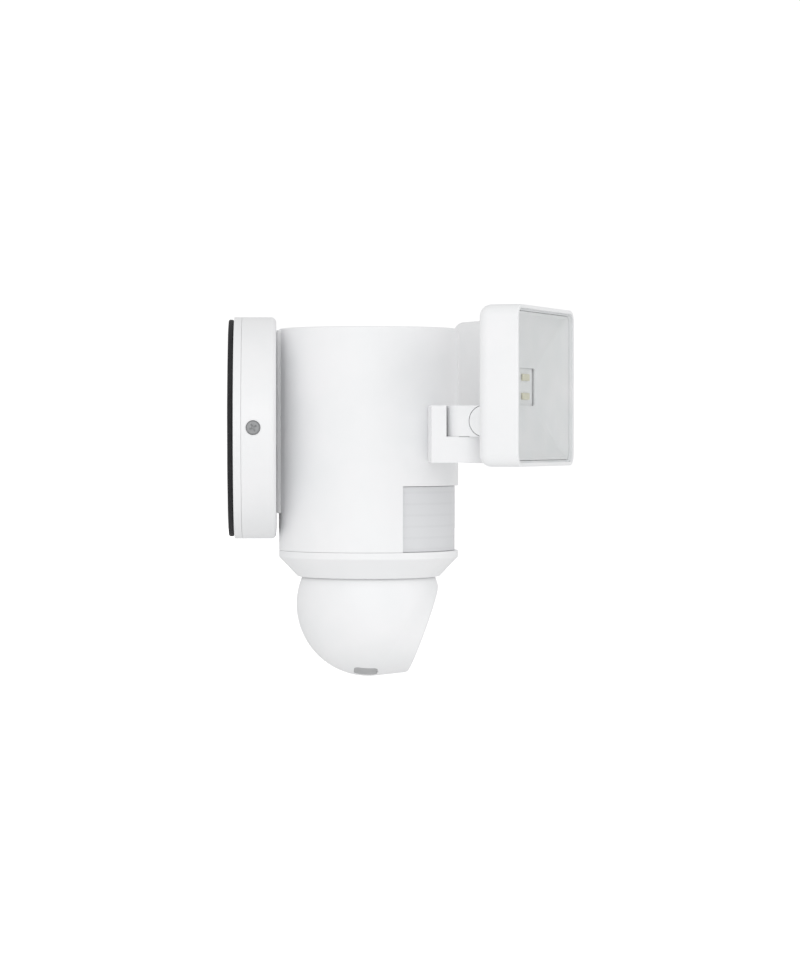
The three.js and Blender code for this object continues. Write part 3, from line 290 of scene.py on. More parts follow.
# Gives a shape in millimetres its name, finish and body, in place of its CAD node.
def place(shape, name, body, node, slot, finish=None):
    shape.name = shape.data.name = name
    moved(shape, Matrix.Scale(mm, 4))
    shape.data.materials.clear()
    shape.data.materials.append(finish or materials[slot])
    evenShading(shape)
    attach(shape, body)
    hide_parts(node)
    return shape


# Materials

def linear(hexColour):
    channels = [int(hexColour[i:i + 2], 16) / 255 for i in (1, 3, 5)]
    return [c / 12.92 if c <= 0.04045 else ((c + 0.055) / 1.055) ** 2.4 for c in channels] + [1]


def addNode(tree, kind, inputs=None, **settings):
    node = tree.nodes.new(kind)
    for key, value in settings.items():
        setattr(node, key, value)
    for key, value in (inputs or {}).items():
        if isinstance(value, bpy.types.NodeSocket):
            tree.links.new(value, node.inputs[key])
        else:
            node.inputs[key].default_value = value
    return node


def newMaterial(name):
    material = bpy.data.materials.new(name)
    material.use_nodes = True
    tree = material.node_tree
    shader = tree.nodes["Principled BSDF"]
    return material, tree, shader


def ramp(tree, factor, stops):
    node = addNode(tree, "ShaderNodeValToRGB", {"Fac": factor})
    bands = node.color_ramp.elements
    while len(bands) < len(stops):
        bands.new(0.5)
    for band, (position, colour) in zip(bands, stops):
        band.position = position
        band.color = linear(colour)
    return node.outputs["Color"]


# A surface whose colour drifts between two shades over driftSize, with a fine grain in bump and roughness.
def grained(name, shades, roughness, grainSize, grainDepth, driftSize=25, ior=1.5, metallic=0, detail=2):
    material, tree, shader = newMaterial(name)
    spot = addNode(tree, "ShaderNodeTexCoord").outputs["Object"]
    drift = addNode(tree, "ShaderNodeTexNoise",
                    {"Vector": spot, "Scale": 1 / (driftSize * mm), "Detail": 3.0}).outputs["Fac"]
    grain = addNode(tree, "ShaderNodeTexNoise",
                    {"Vector": spot, "Scale": 1 / (grainSize * mm), "Detail": float(detail)}).outputs["Fac"]
    tree.links.new(ramp(tree, drift, [(0.3, shades[0]), (0.7, shades[1])]), shader.inputs["Base Color"])
    gloss = addNode(tree, "ShaderNodeMapRange", {
        "Value": grain, "From Min": 0.3, "From Max": 0.7,
        "To Min": roughness[0], "To Max": roughness[1]})
    tree.links.new(gloss.outputs["Result"], shader.inputs["Roughness"])
    bump = addNode(tree, "ShaderNodeBump", {"Height": grain, "Strength": 1.0, "Distance": grainDepth * mm})
    tree.links.new(bump.outputs["Normal"], shader.inputs["Normal"])
    shader.inputs["IOR"].default_value = ior
    shader.inputs["Metallic"].default_value = metallic
    return material


# Injection moulded ABS from a fine spark eroded tool: an even satin white with a soft broad sheen.
# The erosion is about 0.05 mm across, drawn at 0.4 mm so that it shows.
satinWhiteAbs = grained("satinWhiteAbs", ("#f3f4f5", "#f7f7f8"), (0.40, 0.48), 0.4, 0.004, 30)
# The same moulding inside, unpolished and a little greyer.
naturalAbs = grained("naturalAbs", ("#c6c8ca", "#cfd1d2"), (0.5, 0.62), 0.6, 0.01)
# Closed cell neoprene foam cut from sheet: flat black with a pitted skin that catches a little light.
neopreneFoam = grained("neopreneFoam", ("#18181a", "#222224"), (0.75, 0.95), 0.9, 0.12, 8, 1.52, 0, 4)
# Zinc plated steel, tumbled: cool grey metal with a soft blur in its highlights.
zincPlate = grained("zincPlate", ("#b4b6b8", "#c6c8ca"), (0.32, 0.5), 0.5, 0.006, 4, 1.5, 1)
# Stainless screw heads, blasted: mid grey and matt enough to read as one tone.
blastedSteel = grained("blastedSteel", ("#98999a", "#a2a3a4"), (0.5, 0.62), 0.25, 0.008, 2, 1.5, 1)
# Moulded acetal: creamy, slightly waxy gears and bushes.
mouldedAcetal = grained("mouldedAcetal", ("#e9e6db", "#f0eee5"), (0.38, 0.5), 0.5, 0.004, 12, 1.48)
# Fibreglass board under green solder mask: a glossy deep green.
solderMask = grained("solderMask", ("#1f5a38", "#286b44"), (0.22, 0.32), 0.3, 0.006, 5, 1.52)
# Glass filled nylon in black, for the small covered parts.
blackNylon = grained("blackNylon", ("#232426", "#2b2c2e"), (0.45, 0.6), 0.35, 0.01, 6, 1.53)
# Deep drawn aluminium cans with a faint lengthwise blur.
drawnAluminium = grained("drawnAluminium", ("#c9cbcd", "#d8dadb"), (0.3, 0.42), 0.3, 0.004, 6, 1.5, 1)
# Satin silicone rubber in mid grey, for the service cover.
satinSilicone = grained("satinSilicone", ("#b2b3b4", "#b9babb"), (0.55, 0.66), 0.3, 0.008, 4, 1.43)
# Painted inside of the reflector tray: bright satin white that keeps its folds visible.
satinReflector = grained("satinReflector", ("#eff0f0", "#f4f4f5"), (0.3, 0.38), 0.5, 0.002, 20, 1.5)
# Phosphor under clear resin: a pale yellow bar with a fine speckle.
phosphorResin = grained("phosphorResin", ("#dcd8bd", "#e6e2c9"), (0.35, 0.5), 0.15, 0.01, 1.2, 1.53)


# Filled polyethylene of the sensor window: pale cool grey, with the ribs of its lens sheet faint behind it.
def ribbedPolyethylene():
    ribSpacing = 6.5
    material, tree, shader = newMaterial("ribbedPolyethylene")
    spot = addNode(tree, "ShaderNodeTexCoord").outputs["Object"]
    split = addNode(tree, "ShaderNodeSeparateXYZ", {"Vector": spot})
    waves = addNode(tree, "ShaderNodeMath", {0: split.outputs["Z"], 1: 2 * math.pi / (ribSpacing * mm)},
                    operation="MULTIPLY")
    ribs = addNode(tree, "ShaderNodeMath", {0: waves.outputs[0]}, operation="SINE")
    shade = addNode(tree, "ShaderNodeMapRange", {"Value": ribs.outputs[0], "From Min": 0.6, "From Max": 1.0})
    grain = addNode(tree, "ShaderNodeTexNoise", {"Vector": spot, "Scale": 1 / (0.7 * mm), "Detail": 2.0})
    tree.links.new(ramp(tree, shade.outputs["Result"], [(0, "#dedfe1"), (1, "#dbdcde")]),
                   shader.inputs["Base Color"])
    gloss = addNode(tree, "ShaderNodeMapRange", {"Value": grain.outputs["Fac"], "To Min": 0.36, "To Max": 0.46})
    tree.links.new(gloss.outputs["Result"], shader.inputs["Roughness"])
    bump = addNode(tree, "ShaderNodeBump", {"Height": grain.outputs["Fac"], "Distance": 0.004 * mm})
    tree.links.new(bump.outputs["Normal"], shader.inputs["Normal"])
    shader.inputs["IOR"].default_value = 1.51
    return material


# Back painted black glass: a deep polished black with faint handling haze in its gloss.
def blackGlass():
    material, tree, shader = newMaterial("paintedGlass")
    spot = addNode(tree, "ShaderNodeTexCoord").outputs["Object"]
    haze = addNode(tree, "ShaderNodeTexNoise", {"Vector": spot, "Scale": 1 / (14 * mm), "Detail": 5.0})
    tree.links.new(ramp(tree, haze.outputs["Fac"], [(0.3, "#08080a"), (0.7, "#0e0e11")]),
                   shader.inputs["Base Color"])
    gloss = addNode(tree, "ShaderNodeMapRange", {"Value": haze.outputs["Fac"], "To Min": 0.03, "To Max": 0.1})
    tree.links.new(gloss.outputs["Result"], shader.inputs["Roughness"])
    shader.inputs["IOR"].default_value = 1.52
    return material


# Multicoated lens glass: nearly black, with violet and green rings from its coating.
def coatedLens():
    material, tree, shader = newMaterial("coatedLens")
    facingAway = addNode(tree, "ShaderNodeLayerWeight", {"Blend": 0.35}).outputs["Facing"]
    tree.links.new(ramp(tree, facingAway, [(0, "#0b0714"), (0.35, "#1a1030"), (0.7, "#0c1f1c")]),
                   shader.inputs["Base Color"])
    shader.inputs["Roughness"].default_value = 0.03
    shader.inputs["IOR"].default_value = 1.6
    shader.inputs["Coat Weight"].default_value = 0.6
    shader.inputs["Coat Roughness"].default_value = 0.02
    return material


# Clear acrylic sheet: lets the lamp's white tray show straight through and keeps only a thin gloss.
def clearAcrylic():
    material, tree, shader = newMaterial("clearAcrylic")
    tree.nodes.remove(shader)
    spot = addNode(tree, "ShaderNodeTexCoord").outputs["Object"]
    haze = addNode(tree, "ShaderNodeTexNoise", {"Vector": spot, "Scale": 1 / (18 * mm), "Detail": 4.0})
    tint = ramp(tree, haze.outputs["Fac"], [(0.3, "#fafbfb"), (0.7, "#fdfdfd")])
    gloss = addNode(tree, "ShaderNodeMapRange", {"Value": haze.outputs["Fac"], "To Min": 0.02, "To Max": 0.06})
    through = addNode(tree, "ShaderNodeBsdfTransparent", {"Color": tint})
    mirror = addNode(tree, "ShaderNodeBsdfGlossy", {"Roughness": gloss.outputs["Result"]})
    fresnel = addNode(tree, "ShaderNodeFresnel", {"IOR": 1.3})
    backFace = addNode(tree, "ShaderNodeNewGeometry").outputs["Backfacing"]
    outside = addNode(tree, "ShaderNodeMath", {0: 1.0, 1: backFace},
                      operation="SUBTRACT")  # light leaves the sheet as freely as it came in
    share = addNode(tree, "ShaderNodeMath", {0: fresnel.outputs[0], 1: outside.outputs[0]},
                    operation="MULTIPLY")
    mix = addNode(tree, "ShaderNodeMixShader",
                  {0: share.outputs[0], 1: through.outputs[0], 2: mirror.outputs[0]})
    tree.links.new(mix.outputs[0], tree.nodes["Material Output"].inputs["Surface"])
    return material


materials = {
    "white_abs": satinWhiteAbs, "black_rubber": neopreneFoam, "window_polyethylene": ribbedPolyethylene(),
    "zinc_steel": zincPlate, "acetal": mouldedAcetal, "inner_abs": naturalAbs,
    "circuit_board": solderMask, "dark_plastic": blackNylon, "aluminium_can": drawnAluminium,
    "black_glass": blackGlass(), "lens_glass": coatedLens(), "clear_acrylic": clearAcrylic(),
    "white_reflector": satinReflector, "led_phosphor": phosphorResin, "grey_silicone": satinSilicone,
}
for part in frame["record"]["subparts"]:
    mesh = nodes[part["node"]].data
    mesh.materials.clear()
    mesh.materials.append(materials[part["material_slot"]])
    mesh.shade_smooth()
    mesh.set_sharp_from_angle(angle=math.radians(30))
print("materials ready,", len(materials), "finishes")


# Canopy: foam gasket, wall base and round cover with a screw on each side

canopy = {
    "wall": 2.5, "frontRound": 3.0, "seamRound": 0.2, "seamGap": 0.1, "plate": 2.5,
    "ribHeight": 2.2, "ribCount": 8,
    "cableHole": 11, "frontHole": 9, "seat": 49, "spigotGap": 0.3, "slot": (5, 14), "screwWell": 1.3,
    "gasketWidth": 13.8, "gasketRound": 1.1, "gasketRipple": 0.5, "gasketSqueeze": 0.12,
}


def buildGasket():
    low, high = localBox("wall_gasket")
    outer, depth, corner = high.x, -low.y, canopy["gasketRound"]
    inner = outer - canopy["gasketWidth"]
    section = rounded([(inner, 0, corner), (outer, 0, corner), (outer, depth, corner), (inner, depth, corner)])
    ring = turned(section, 360)
    for vertex in ring.data.vertices:  # cut by hand and squeezed against the wall, so never quite even
        flat = Vector((vertex.co.x, vertex.co.y, 0)).normalized()
        ripple = 0.5 + 0.5 * noise.noise(flat * 5 + Vector((0, 0, vertex.co.z * 0.3)))
        squeeze = 0.5 + 0.5 * noise.noise(flat * 3 + Vector((7, 0, 0)))
        if vertex.co.xy.length > inner + canopy["gasketWidth"] / 2:
            vertex.co -= flat * ripple * canopy["gasketRipple"]
        vertex.co.z += canopy["gasketSqueeze"] * squeeze * (1 - vertex.co.z / depth)
    place(moved(ring, facing), "gasketRing", "fixture", "wall_gasket", "black_rubber")


def buildWallBase():
    low, high = localBox("wall_base")
    radius, back, spigotTop = high.x, -high.y, -low.y
    front = -localBox("canopy_cover")[1].y - canopy["spigotGap"]
    spigot = radius - canopy["wall"] - canopy["spigotGap"]
    inner, hole, seat, seam = spigot - canopy["wall"], canopy["cableHole"], canopy["seat"], canopy["seamRound"]
    floor = front - canopy["plate"]
    base = turned(rounded([
        (hole, floor, 0), (seat, floor, 0.8), (seat, back, 0.3), (radius, back, seam), (radius, front, seam),
        (spigot, front, 0), (spigot, spigotTop, 0.3), (inner, spigotTop, 0.3), (inner, front, 0.5),
        (hole, front, 0.3)]), 240)
    ribs = []
    for i in range(canopy["ribCount"]):
        turn = Matrix.Rotation((i + 0.5) / canopy["ribCount"] * 2 * math.pi, 4, "Z")
        rib = box((hole + 0.8, -0.7, floor - canopy["ribHeight"]), (seat + 0.5, 0.7, floor + 0.5))
        ribs.append(moved(rib, turn))
    rim = turned([(hole, floor + 0.5), (hole + 1.6, floor + 0.5),
                  (hole + 1.6, floor - 1.6), (hole, floor - 1.6)], 96)
    join(base, rim, *ribs)
    for screwNode in ("strap_screw_upper", "strap_screw_lower"):
        middle = sum(localBox(screwNode), Vector()) / 2
        width, length = canopy["slot"]
        cut(base, moved(bar(width, length, width / 2 - 0.01, -1, 40), Matrix.Translation((0, middle.z, 0))))
    place(moved(base, facing), "wallBase", "fixture", "wall_base", "white_abs")


def buildCanopyCover():
    low, high = localBox("canopy_cover")
    radius, front = high.x, -low.y
    back = -high.y - canopy["spigotGap"] + canopy["seamGap"]  # closed up against the base
    inner, hole = radius - canopy["wall"], canopy["frontHole"]
    section = rounded([
        (hole, front - canopy["wall"], 0), (inner, front - canopy["wall"], 1), (inner, back, 0.1),
        (radius, back, canopy["seamRound"]), (radius, front, canopy["frontRound"]), (hole, front, 0.3)], 10)
    cover = moved(turned(section, 240), facing)
    headLow, headHigh = localBox("side_screw_right")
    well = (headHigh.z - headLow.z) / 2 + 0.12
    depth = radius - canopy["screwWell"]
    spot = Matrix.Translation(((0, (headLow.y + headHigh.y) / 2, (headLow.z + headHigh.z) / 2)))
    for turn in (0, math.pi):
        tool = moved(rod(well, depth, radius + 3, 96), across, Matrix.Rotation(turn, 4, "Z"), spot)
        cut(cover, tool)
    place(cover, "canopyCover", "fixture", "canopy_cover", "white_abs")


# Pan head screw with a crossed recess. Its head's top is at z = 0.
screw = {"headHeight": 1.8, "shank": 1.7, "length": 14, "slotLength": 4.4, "slotWidth": 0.95, "slotDepth": 1.0}


def buildSideScrew(name, side):
    node = "side_screw_" + name
    low, high = localBox(node)
    middle = (low + high) / 2
    radius, top = (high.z - low.z) / 2, high.x if side > 0 else -low.x
    depth, shank, length = screw["headHeight"], screw["shank"], screw["length"]
    head = turned(rounded([
        (0, 0, 0), (radius, 0, 1.1), (radius, -depth, 0.1), (shank, -depth, 0), (shank, -length, 0.4),
        (0, -length, 0)], 8), 96)
    half, width = screw["slotLength"] / 2, screw["slotWidth"] / 2
    for turn in (0, quarter):
        slot = box((-half, -width, -screw["slotDepth"]), (half, width, 1))
        cut(head, moved(slot, Matrix.Rotation(turn + 0.5, 4, "Z")))
    softened(head, 0.08, 2)
    outward = Matrix.Translation((side * top, middle.y, middle.z)) @ Matrix.Rotation(side * quarter, 4, "Y")
    place(moved(head, outward), "sideScrew" + name.title(), "fixture", node, "zinc_steel", blastedSteel)


buildGasket()
buildWallBase()
buildCanopyCover()
for name, side in sides:
    buildSideScrew(name, side)
print("canopy done")


# Body: upright shell with its neck, sensor window and collar

body = {
    "wall": 2.5, "topRound": 1.0, "footRound": 0.25, "neckWidth": 22, "neckHeight": 107, "neckStart": 46,
    "windowHeight": 38, "windowAngle": math.radians(69.5), "windowGap": 0.3, "windowRecess": 2.0,
    "windowPanel": 1.4, "flange": 2.6, "flangeDepth": 1.2,
    "spigot": 4, "seamGap": 0.1, "band": 3.7, "bandRound": 1.4, "lip": 1.4, "collarWall": 2,
}
housingLow, housingHigh = localBox("housing_shell", bodyPlace)
bodyRadius = housingHigh.x


# Part of a ring to both sides of the front.
def frontSector(section, halfAngle, segments=72):
    return turned(section, segments, (-quarter - halfAngle, -quarter + halfAngle))


def buildHousing():
    low, high = housingLow, housingHigh
    bore = bodyRadius - body["wall"]
    shell = turned(rounded([
        (0, high.z - body["wall"], 0), (bore, high.z - body["wall"], 1), (bore, low.z, 0),
        (bodyRadius, low.z, body["footRound"]), (bodyRadius, high.z, body["topRound"]), (0, high.z, 0)], 8), 240)
    top = high.z - body["topRound"]
    depth = high.y - body["neckStart"]
    neck = bar(body["neckWidth"], depth, 0.8, top - body["neckHeight"], top, 0.6, 0.6)
    join(shell, moved(neck, Matrix.Translation((0, high.y - depth / 2, 0))))
    inner, outer, sill = bore * 0.8, bodyRadius + 3, low.z + body["windowHeight"]
    opening = [(inner, low.z - 1), (outer, low.z - 1), (outer, sill), (inner, sill)]
    cut(shell, frontSector(opening, body["windowAngle"]))
    place(moved(shell, bodyPlace), "housingShell", "fixture", "housing_shell", "white_abs")


def buildWindow():
    low, high = localBox("pir_window", bodyPlace)
    outer = bodyRadius - body["windowRecess"]
    inner = outer - body["windowPanel"]
    bottom, top = low.z, housingLow.z + body["windowHeight"] - body["windowGap"]
    panel = rounded([(inner, bottom, 0), (outer, bottom, 0.3), (outer, top, 0.3), (inner, top, 0)], 3)
    window = frontSector(panel, body["windowAngle"] - body["windowGap"] / outer)
    back, seam = inner - body["flangeDepth"], inner + 0.2
    foot = high.z - body["windowHeight"] + body["flange"] - 1
    flange = [(back, foot), (seam, foot), (seam, high.z), (back, high.z)]
    join(window, frontSector(flange, body["windowAngle"] + body["flange"] / outer))
    place(moved(window, bodyPlace), "sensorWindow", "fixture", "pir_window", "window_polyethylene")


def buildCollar():
    low, high = localBox("lower_collar", bodyPlace)
    top = housingLow.z - body["seamGap"]  # closed up against the body
    shoulder = high.z - body["spigot"] - body["band"]
    rim = (ballRadius ** 2 - (low.z - ballCentre.z) ** 2) ** 0.5 + ball["clearance"]
    rimOuter, wall = rim + body["lip"], body["collarWall"]
    slope = (bodyRadius - rimOuter) / (shoulder - low.z)
    spigotOuter = bodyRadius - body["wall"] - body["windowPanel"]
    spigotInner = spigotOuter - wall
    collar = turned(rounded([
        (bodyRadius, top, 0.3), (spigotOuter, top, 0), (spigotOuter, high.z, 0.3), (spigotInner, high.z, 0.3),
        (spigotInner, low.z + wall + (spigotInner - rim + body["lip"]) / slope, 0),
        (rim, low.z + wall + body["lip"] / slope, 0.3), (rim, low.z, 0.3), (rimOuter, low.z, 0.5),
        (bodyRadius, shoulder, body["bandRound"])]), 240)
    place(moved(collar, bodyPlace), "lowerCollar", "fixture", "lower_collar", "white_abs")


# Camera ball: shell drawn out to a low flat front, black glass with two lenses, a service cover underneath

ball = {
    "wall": 2.0, "clearance": 1.3, "faceDrop": 3.2, "frontSoft": 2.0, "glassGap": 0.3, "glassThickness": 1.2,
    "glassLip": 2, "armHalfDepth": 4.5, "slotHalf": 21, "pocket": 8, "pocketWall": 1.2, "coverCorner": 2.6,
    "coverGap": 0.12, "notch": 0.9, "notchDepth": 1.2, "lensRim": 1.0, "lensDome": 0.5,
}
ballFacing = ballPlace @ facing
ballLow, ballHigh = localBox("ball_shell", ballFacing)
ballRadius, ballFlat = (ballHigh.x - ballLow.x) / 2, ballHigh.z
glassLow, glassHigh = localBox("front_glass", ballFacing)
coverLow, coverHigh = localBox("service_cover", servicePlace)


# The ball with its view axis along Z: an arc from the rear pole, a straight run that leaves it as a tangent,
# and a flat front whose edge is a circle that sits low.
def ballForm(radius, flat, inset, soft, steps, segments=216):
    ownEdge = (radius ** 2 - flat ** 2) ** 0.5
    faceRadius = (ballRadius ** 2 - ballFlat ** 2) ** 0.5 + ball["faceDrop"]

    def profileAt(angle):
        down = angle + quarter
        half = (faceRadius ** 2 - (ball["faceDrop"] * math.sin(down)) ** 2) ** 0.5
        edge = max(ball["faceDrop"] * math.cos(down) + half - inset, ownEdge)
        run = max(edge ** 2 + flat ** 2 - radius ** 2, 0) ** 0.5
        leave = math.atan2(edge, flat) + math.atan2(run, radius)
        arcEnd = leave + max(soft - run, 0) / radius
        back = min(soft, run)
        first = (edge + back * math.cos(leave), flat - back * math.sin(leave))
        if run < soft:
            first = (radius * math.sin(arcEnd), radius * math.cos(arcEnd))
        path = [(radius * math.sin(turn), radius * math.cos(turn))
                for turn in (math.pi + (arcEnd - math.pi) * i / steps for i in range(steps))]
        path[0] = (0, -radius)
        for i in range(9):
            t = i / 8
            path.append(tuple((1 - t) ** 2 * first[n] + 2 * t * (1 - t) * (edge, flat)[n]
                              + t ** 2 * (edge - soft, flat)[n] for n in (0, 1)))
        return path + [((edge - soft) * (1 - i / 6), flat) for i in range(1, 7)]

    return moved(spun(profileAt, segments), ballFacing)


def glassForm(inset, low, high, edge=0):
    width, height = glassHigh.x - glassLow.x - 2 * inset, glassHigh.y - glassLow.y - 2 * inset
    outline = bar(width, height, width / 2 - 0.01, low, high, 0, edge, 24)
    return moved(outline, Matrix.Translation((0, (glassLow.y + glassHigh.y) / 2, 0)), ballFacing)


def sphere(radius, segments=144):
    profile = arc((0, 0), radius, -quarter, quarter, segments // 2)
    profile[0], profile[-1] = (0, -radius), (0, radius)
    return moved(turned(profile, segments), Matrix.Translation(ballCentre))


def serviceBar(extra, low, high):
    width, length = (coverHigh[i] - coverLow[i] + 2 * extra for i in (0, 1))
    return moved(bar(width, length, ball["coverCorner"] + extra, low, high), servicePlace)


def nailNotch():
    spot = Matrix.Translation((0, coverLow.y, 0))
    return moved(rod(ball["notch"], -ballRadius - 1, -ballRadius + ball["notchDepth"], 32), spot, servicePlace)


def buildBallShell():
    inner, gap = ballRadius - ball["wall"], ball["glassGap"]
    seat = ballFlat - ball["glassThickness"] - gap
    back = seat - ball["glassLip"]
    shell = ballForm(ballRadius, ballFlat, 0, ball["frontSoft"], 84)
    cut(shell, ballForm(inner, back, ball["wall"] + gap, 0.01, 40, 144), glassForm(-gap, seat, ballFlat + 1),
        glassForm(ball["glassLip"], back - 1, seat + 1))

    tiltUp, tiltDown = (math.radians(abs(end)) for end in joints["camera_tilt"]["range_deg"])
    armAngle = math.asin(ball["armHalfDepth"] / inner) + 0.035
    start, end = restTilt - armAngle - tiltUp, restTilt + armAngle + tiltDown
    wedge = [(reach * ballRadius * math.sin(lean), reach * ballRadius * math.cos(lean))
             for reach, lean in ((0.56, start), (1.45, start), (1.45, end), (0.56, end))]
    slot = moved(stacked([(wedge, -ball["slotHalf"]), (wedge, ball["slotHalf"])]), across, ballPlace)

    pocketTop = ball["pocket"] - ballRadius
    pocket = common(serviceBar(0.3 + ball["pocketWall"], 0.5 - ballRadius, pocketTop + 1),
                    sphere(ballRadius - 1))
    buttonLow, buttonHigh = localBox("reset_button", servicePlace)
    middle = (buttonLow + buttonHigh) / 2
    hole = rod((buttonHigh.x - buttonLow.x) / 2 + 0.4, pocketTop - 1, pocketTop + 2)
    buttonHole = moved(hole, Matrix.Translation((middle.x, middle.y, 0)), servicePlace)
    join(shell, pocket)
    cut(shell, slot, serviceBar(ball["coverGap"], -ballRadius - 5, pocketTop), buttonHole, nailNotch())
    place(shell, "ballShell", "camera_head", "ball_shell", "white_abs")


def buildServiceCover():
    cover = common(serviceBar(0, -ballRadius - 1, coverHigh.z), sphere(ballRadius - 0.05))
    cut(cover, nailNotch())
    place(cover, "serviceCover", "service_flap", "service_cover", "grey_silicone")


def buildLens(name):
    low, high = localBox(name + "_lens", ballFacing)
    radius, front = (high.x - low.x) / 2, high.z
    spot = Matrix.Translation((0, (low.y + high.y) / 2, 0))
    rim, dome = radius - ball["lensRim"], ball["lensDome"]
    barrel = turned(rounded([
        (0, low.z, 0), (radius, low.z, 0), (radius, front, 0.25), (rim, front, 0.15),
        (rim - 0.5, front - 1.6, 0), (0, front - 1.6, 0)], 4), 96)
    place(moved(barrel, spot, ballFacing), name + "LensBarrel", "camera_head", name + "_lens", "dark_plastic")
    inner = rim - 0.6
    steps = 16
    bulge = [(inner * math.sin(i / steps * quarter), front - 0.5 - dome * (1 - math.cos(i / steps * quarter)))
             for i in range(steps + 1)]
    bulge[0] = (0, front - 0.5)
    glass = turned(bulge + [(inner, front - 1.5), (0, front - 1.5)], 96)
    place(moved(glass, spot, ballFacing), name + "LensGlass", "camera_head", name + "_lens", "lens_glass")
    return rod(radius + 0.3, 0, ballRadius, 96), spot


def buildFrontGlass():
    low, high = localBox("front_glass", ballFacing)
    plate = glassForm(0, low.z, high.z, 0.3)
    for name in ("wide", "tele"):
        tool, spot = buildLens(name)
        cut(plate, moved(tool, spot, ballFacing))
    place(plate, "frontGlass", "camera_head", "front_glass", "black_glass")


buildHousing()
buildWindow()
buildCollar()
print("body done")
buildBallShell()
buildServiceCover()
buildFrontGlass()
print("camera ball done")


# Arms and lamps

arm = {
    "slit": 0.5, "slitBelow": 0.3, "edge": 0.7, "pivotHead": 6.3, "headDepth": 4.0, "pinHole": 2.9,
    "legThickness": 8.4, "knuckleEdge": 0.5, "lugGap": 0.2, "lugReach": 0.4, "lugInner": 5.6,
}
lamp = {
    "depth": 23.6, "corner": 7, "rearRound": 6.5, "frontRound": 0.6,
    "wall": 2, "ledge": 1.2, "sheet": 1.6, "gap": 0.3,
    "reflectorSheet": 1.0, "reflectorBow": 0.45, "floorCorner": 1.5, "pinHole": 2.8, "lugEdge": 0.35,
}


def buildBracket(name, side):
    low, high = localBox("bracket_" + name)
    knuckleLow, knuckleHigh = localBox("knuckle_" + name, lampPlaces[name])
    pan = jointPoint("lamp_pan_" + name)
    radius = knuckleHigh.x
    legFront = pan.y + radius + arm["slit"]
    legBack = legFront + arm["legThickness"]
    reach = max(abs(low.x), abs(high.x))
    x0, x1 = sorted((side * bodyRadius * 0.6, side * reach))
    shape = box((x0, legFront, low.z), (x1, legBack, high.z))
    footTop = knuckleLow.z - arm["slitBelow"]
    end = arc((pan.x, pan.y), radius, math.pi, 2 * math.pi, 36)
    outline = end + [(pan.x + radius, legFront + 1), (pan.x - radius, legFront + 1)]
    join(shape, stacked([(outline, low.z), (outline, footTop)]))
    softened(shape, arm["edge"])
    headTop = low.z + arm["headDepth"]
    cut(shape, moved(rod(bodyRadius + 0.05, housingLow.z, housingHigh.z, 240), bodyPlace),
        moved(rod(arm["pivotHead"], low.z - 1, headTop), Matrix.Translation((pan.x, pan.y, 0))),
        moved(rod(3.4, low.z, footTop + 1), Matrix.Translation((pan.x, pan.y, 0))))
    place(shape, "bracket" + name.title(), "fixture", "bracket_" + name, "white_abs")


def buildKnuckle(name, side):
    placing = lampPlaces[name]
    low, high = localBox("knuckle_" + name, placing)
    tilt = placing.inverted() @ jointPoint("lamp_tilt_" + name)
    radius, barrel = high.x, (high.z - low.z) / 2
    outline = arc((0, 0), radius, 0, math.pi, 36) + [(-radius, tilt.y), (radius, tilt.y)]
    stem = stacked([(outline, low.z), (outline, high.z)])
    tongue = arm["lugInner"] - arm["lugGap"]
    spot = Matrix.Translation((0, tilt.y, tilt.z))
    for way in (-1, 1):
        x0, x1 = sorted((way * tongue, way * (radius + 1)))
        cut(stem, moved(rod(barrel + arm["lugReach"], x0, x1, 96), across, spot))
    join(stem, moved(rod(barrel, -tongue, tongue, 96), across, spot))
    softened(stem, arm["knuckleEdge"], angle=50)
    cut(stem, moved(rod(arm["pinHole"], -12, 12), across, spot))
    place(moved(stem, placing), "knuckle" + name.title(), "knuckle_" + name, "knuckle_" + name, "white_abs")


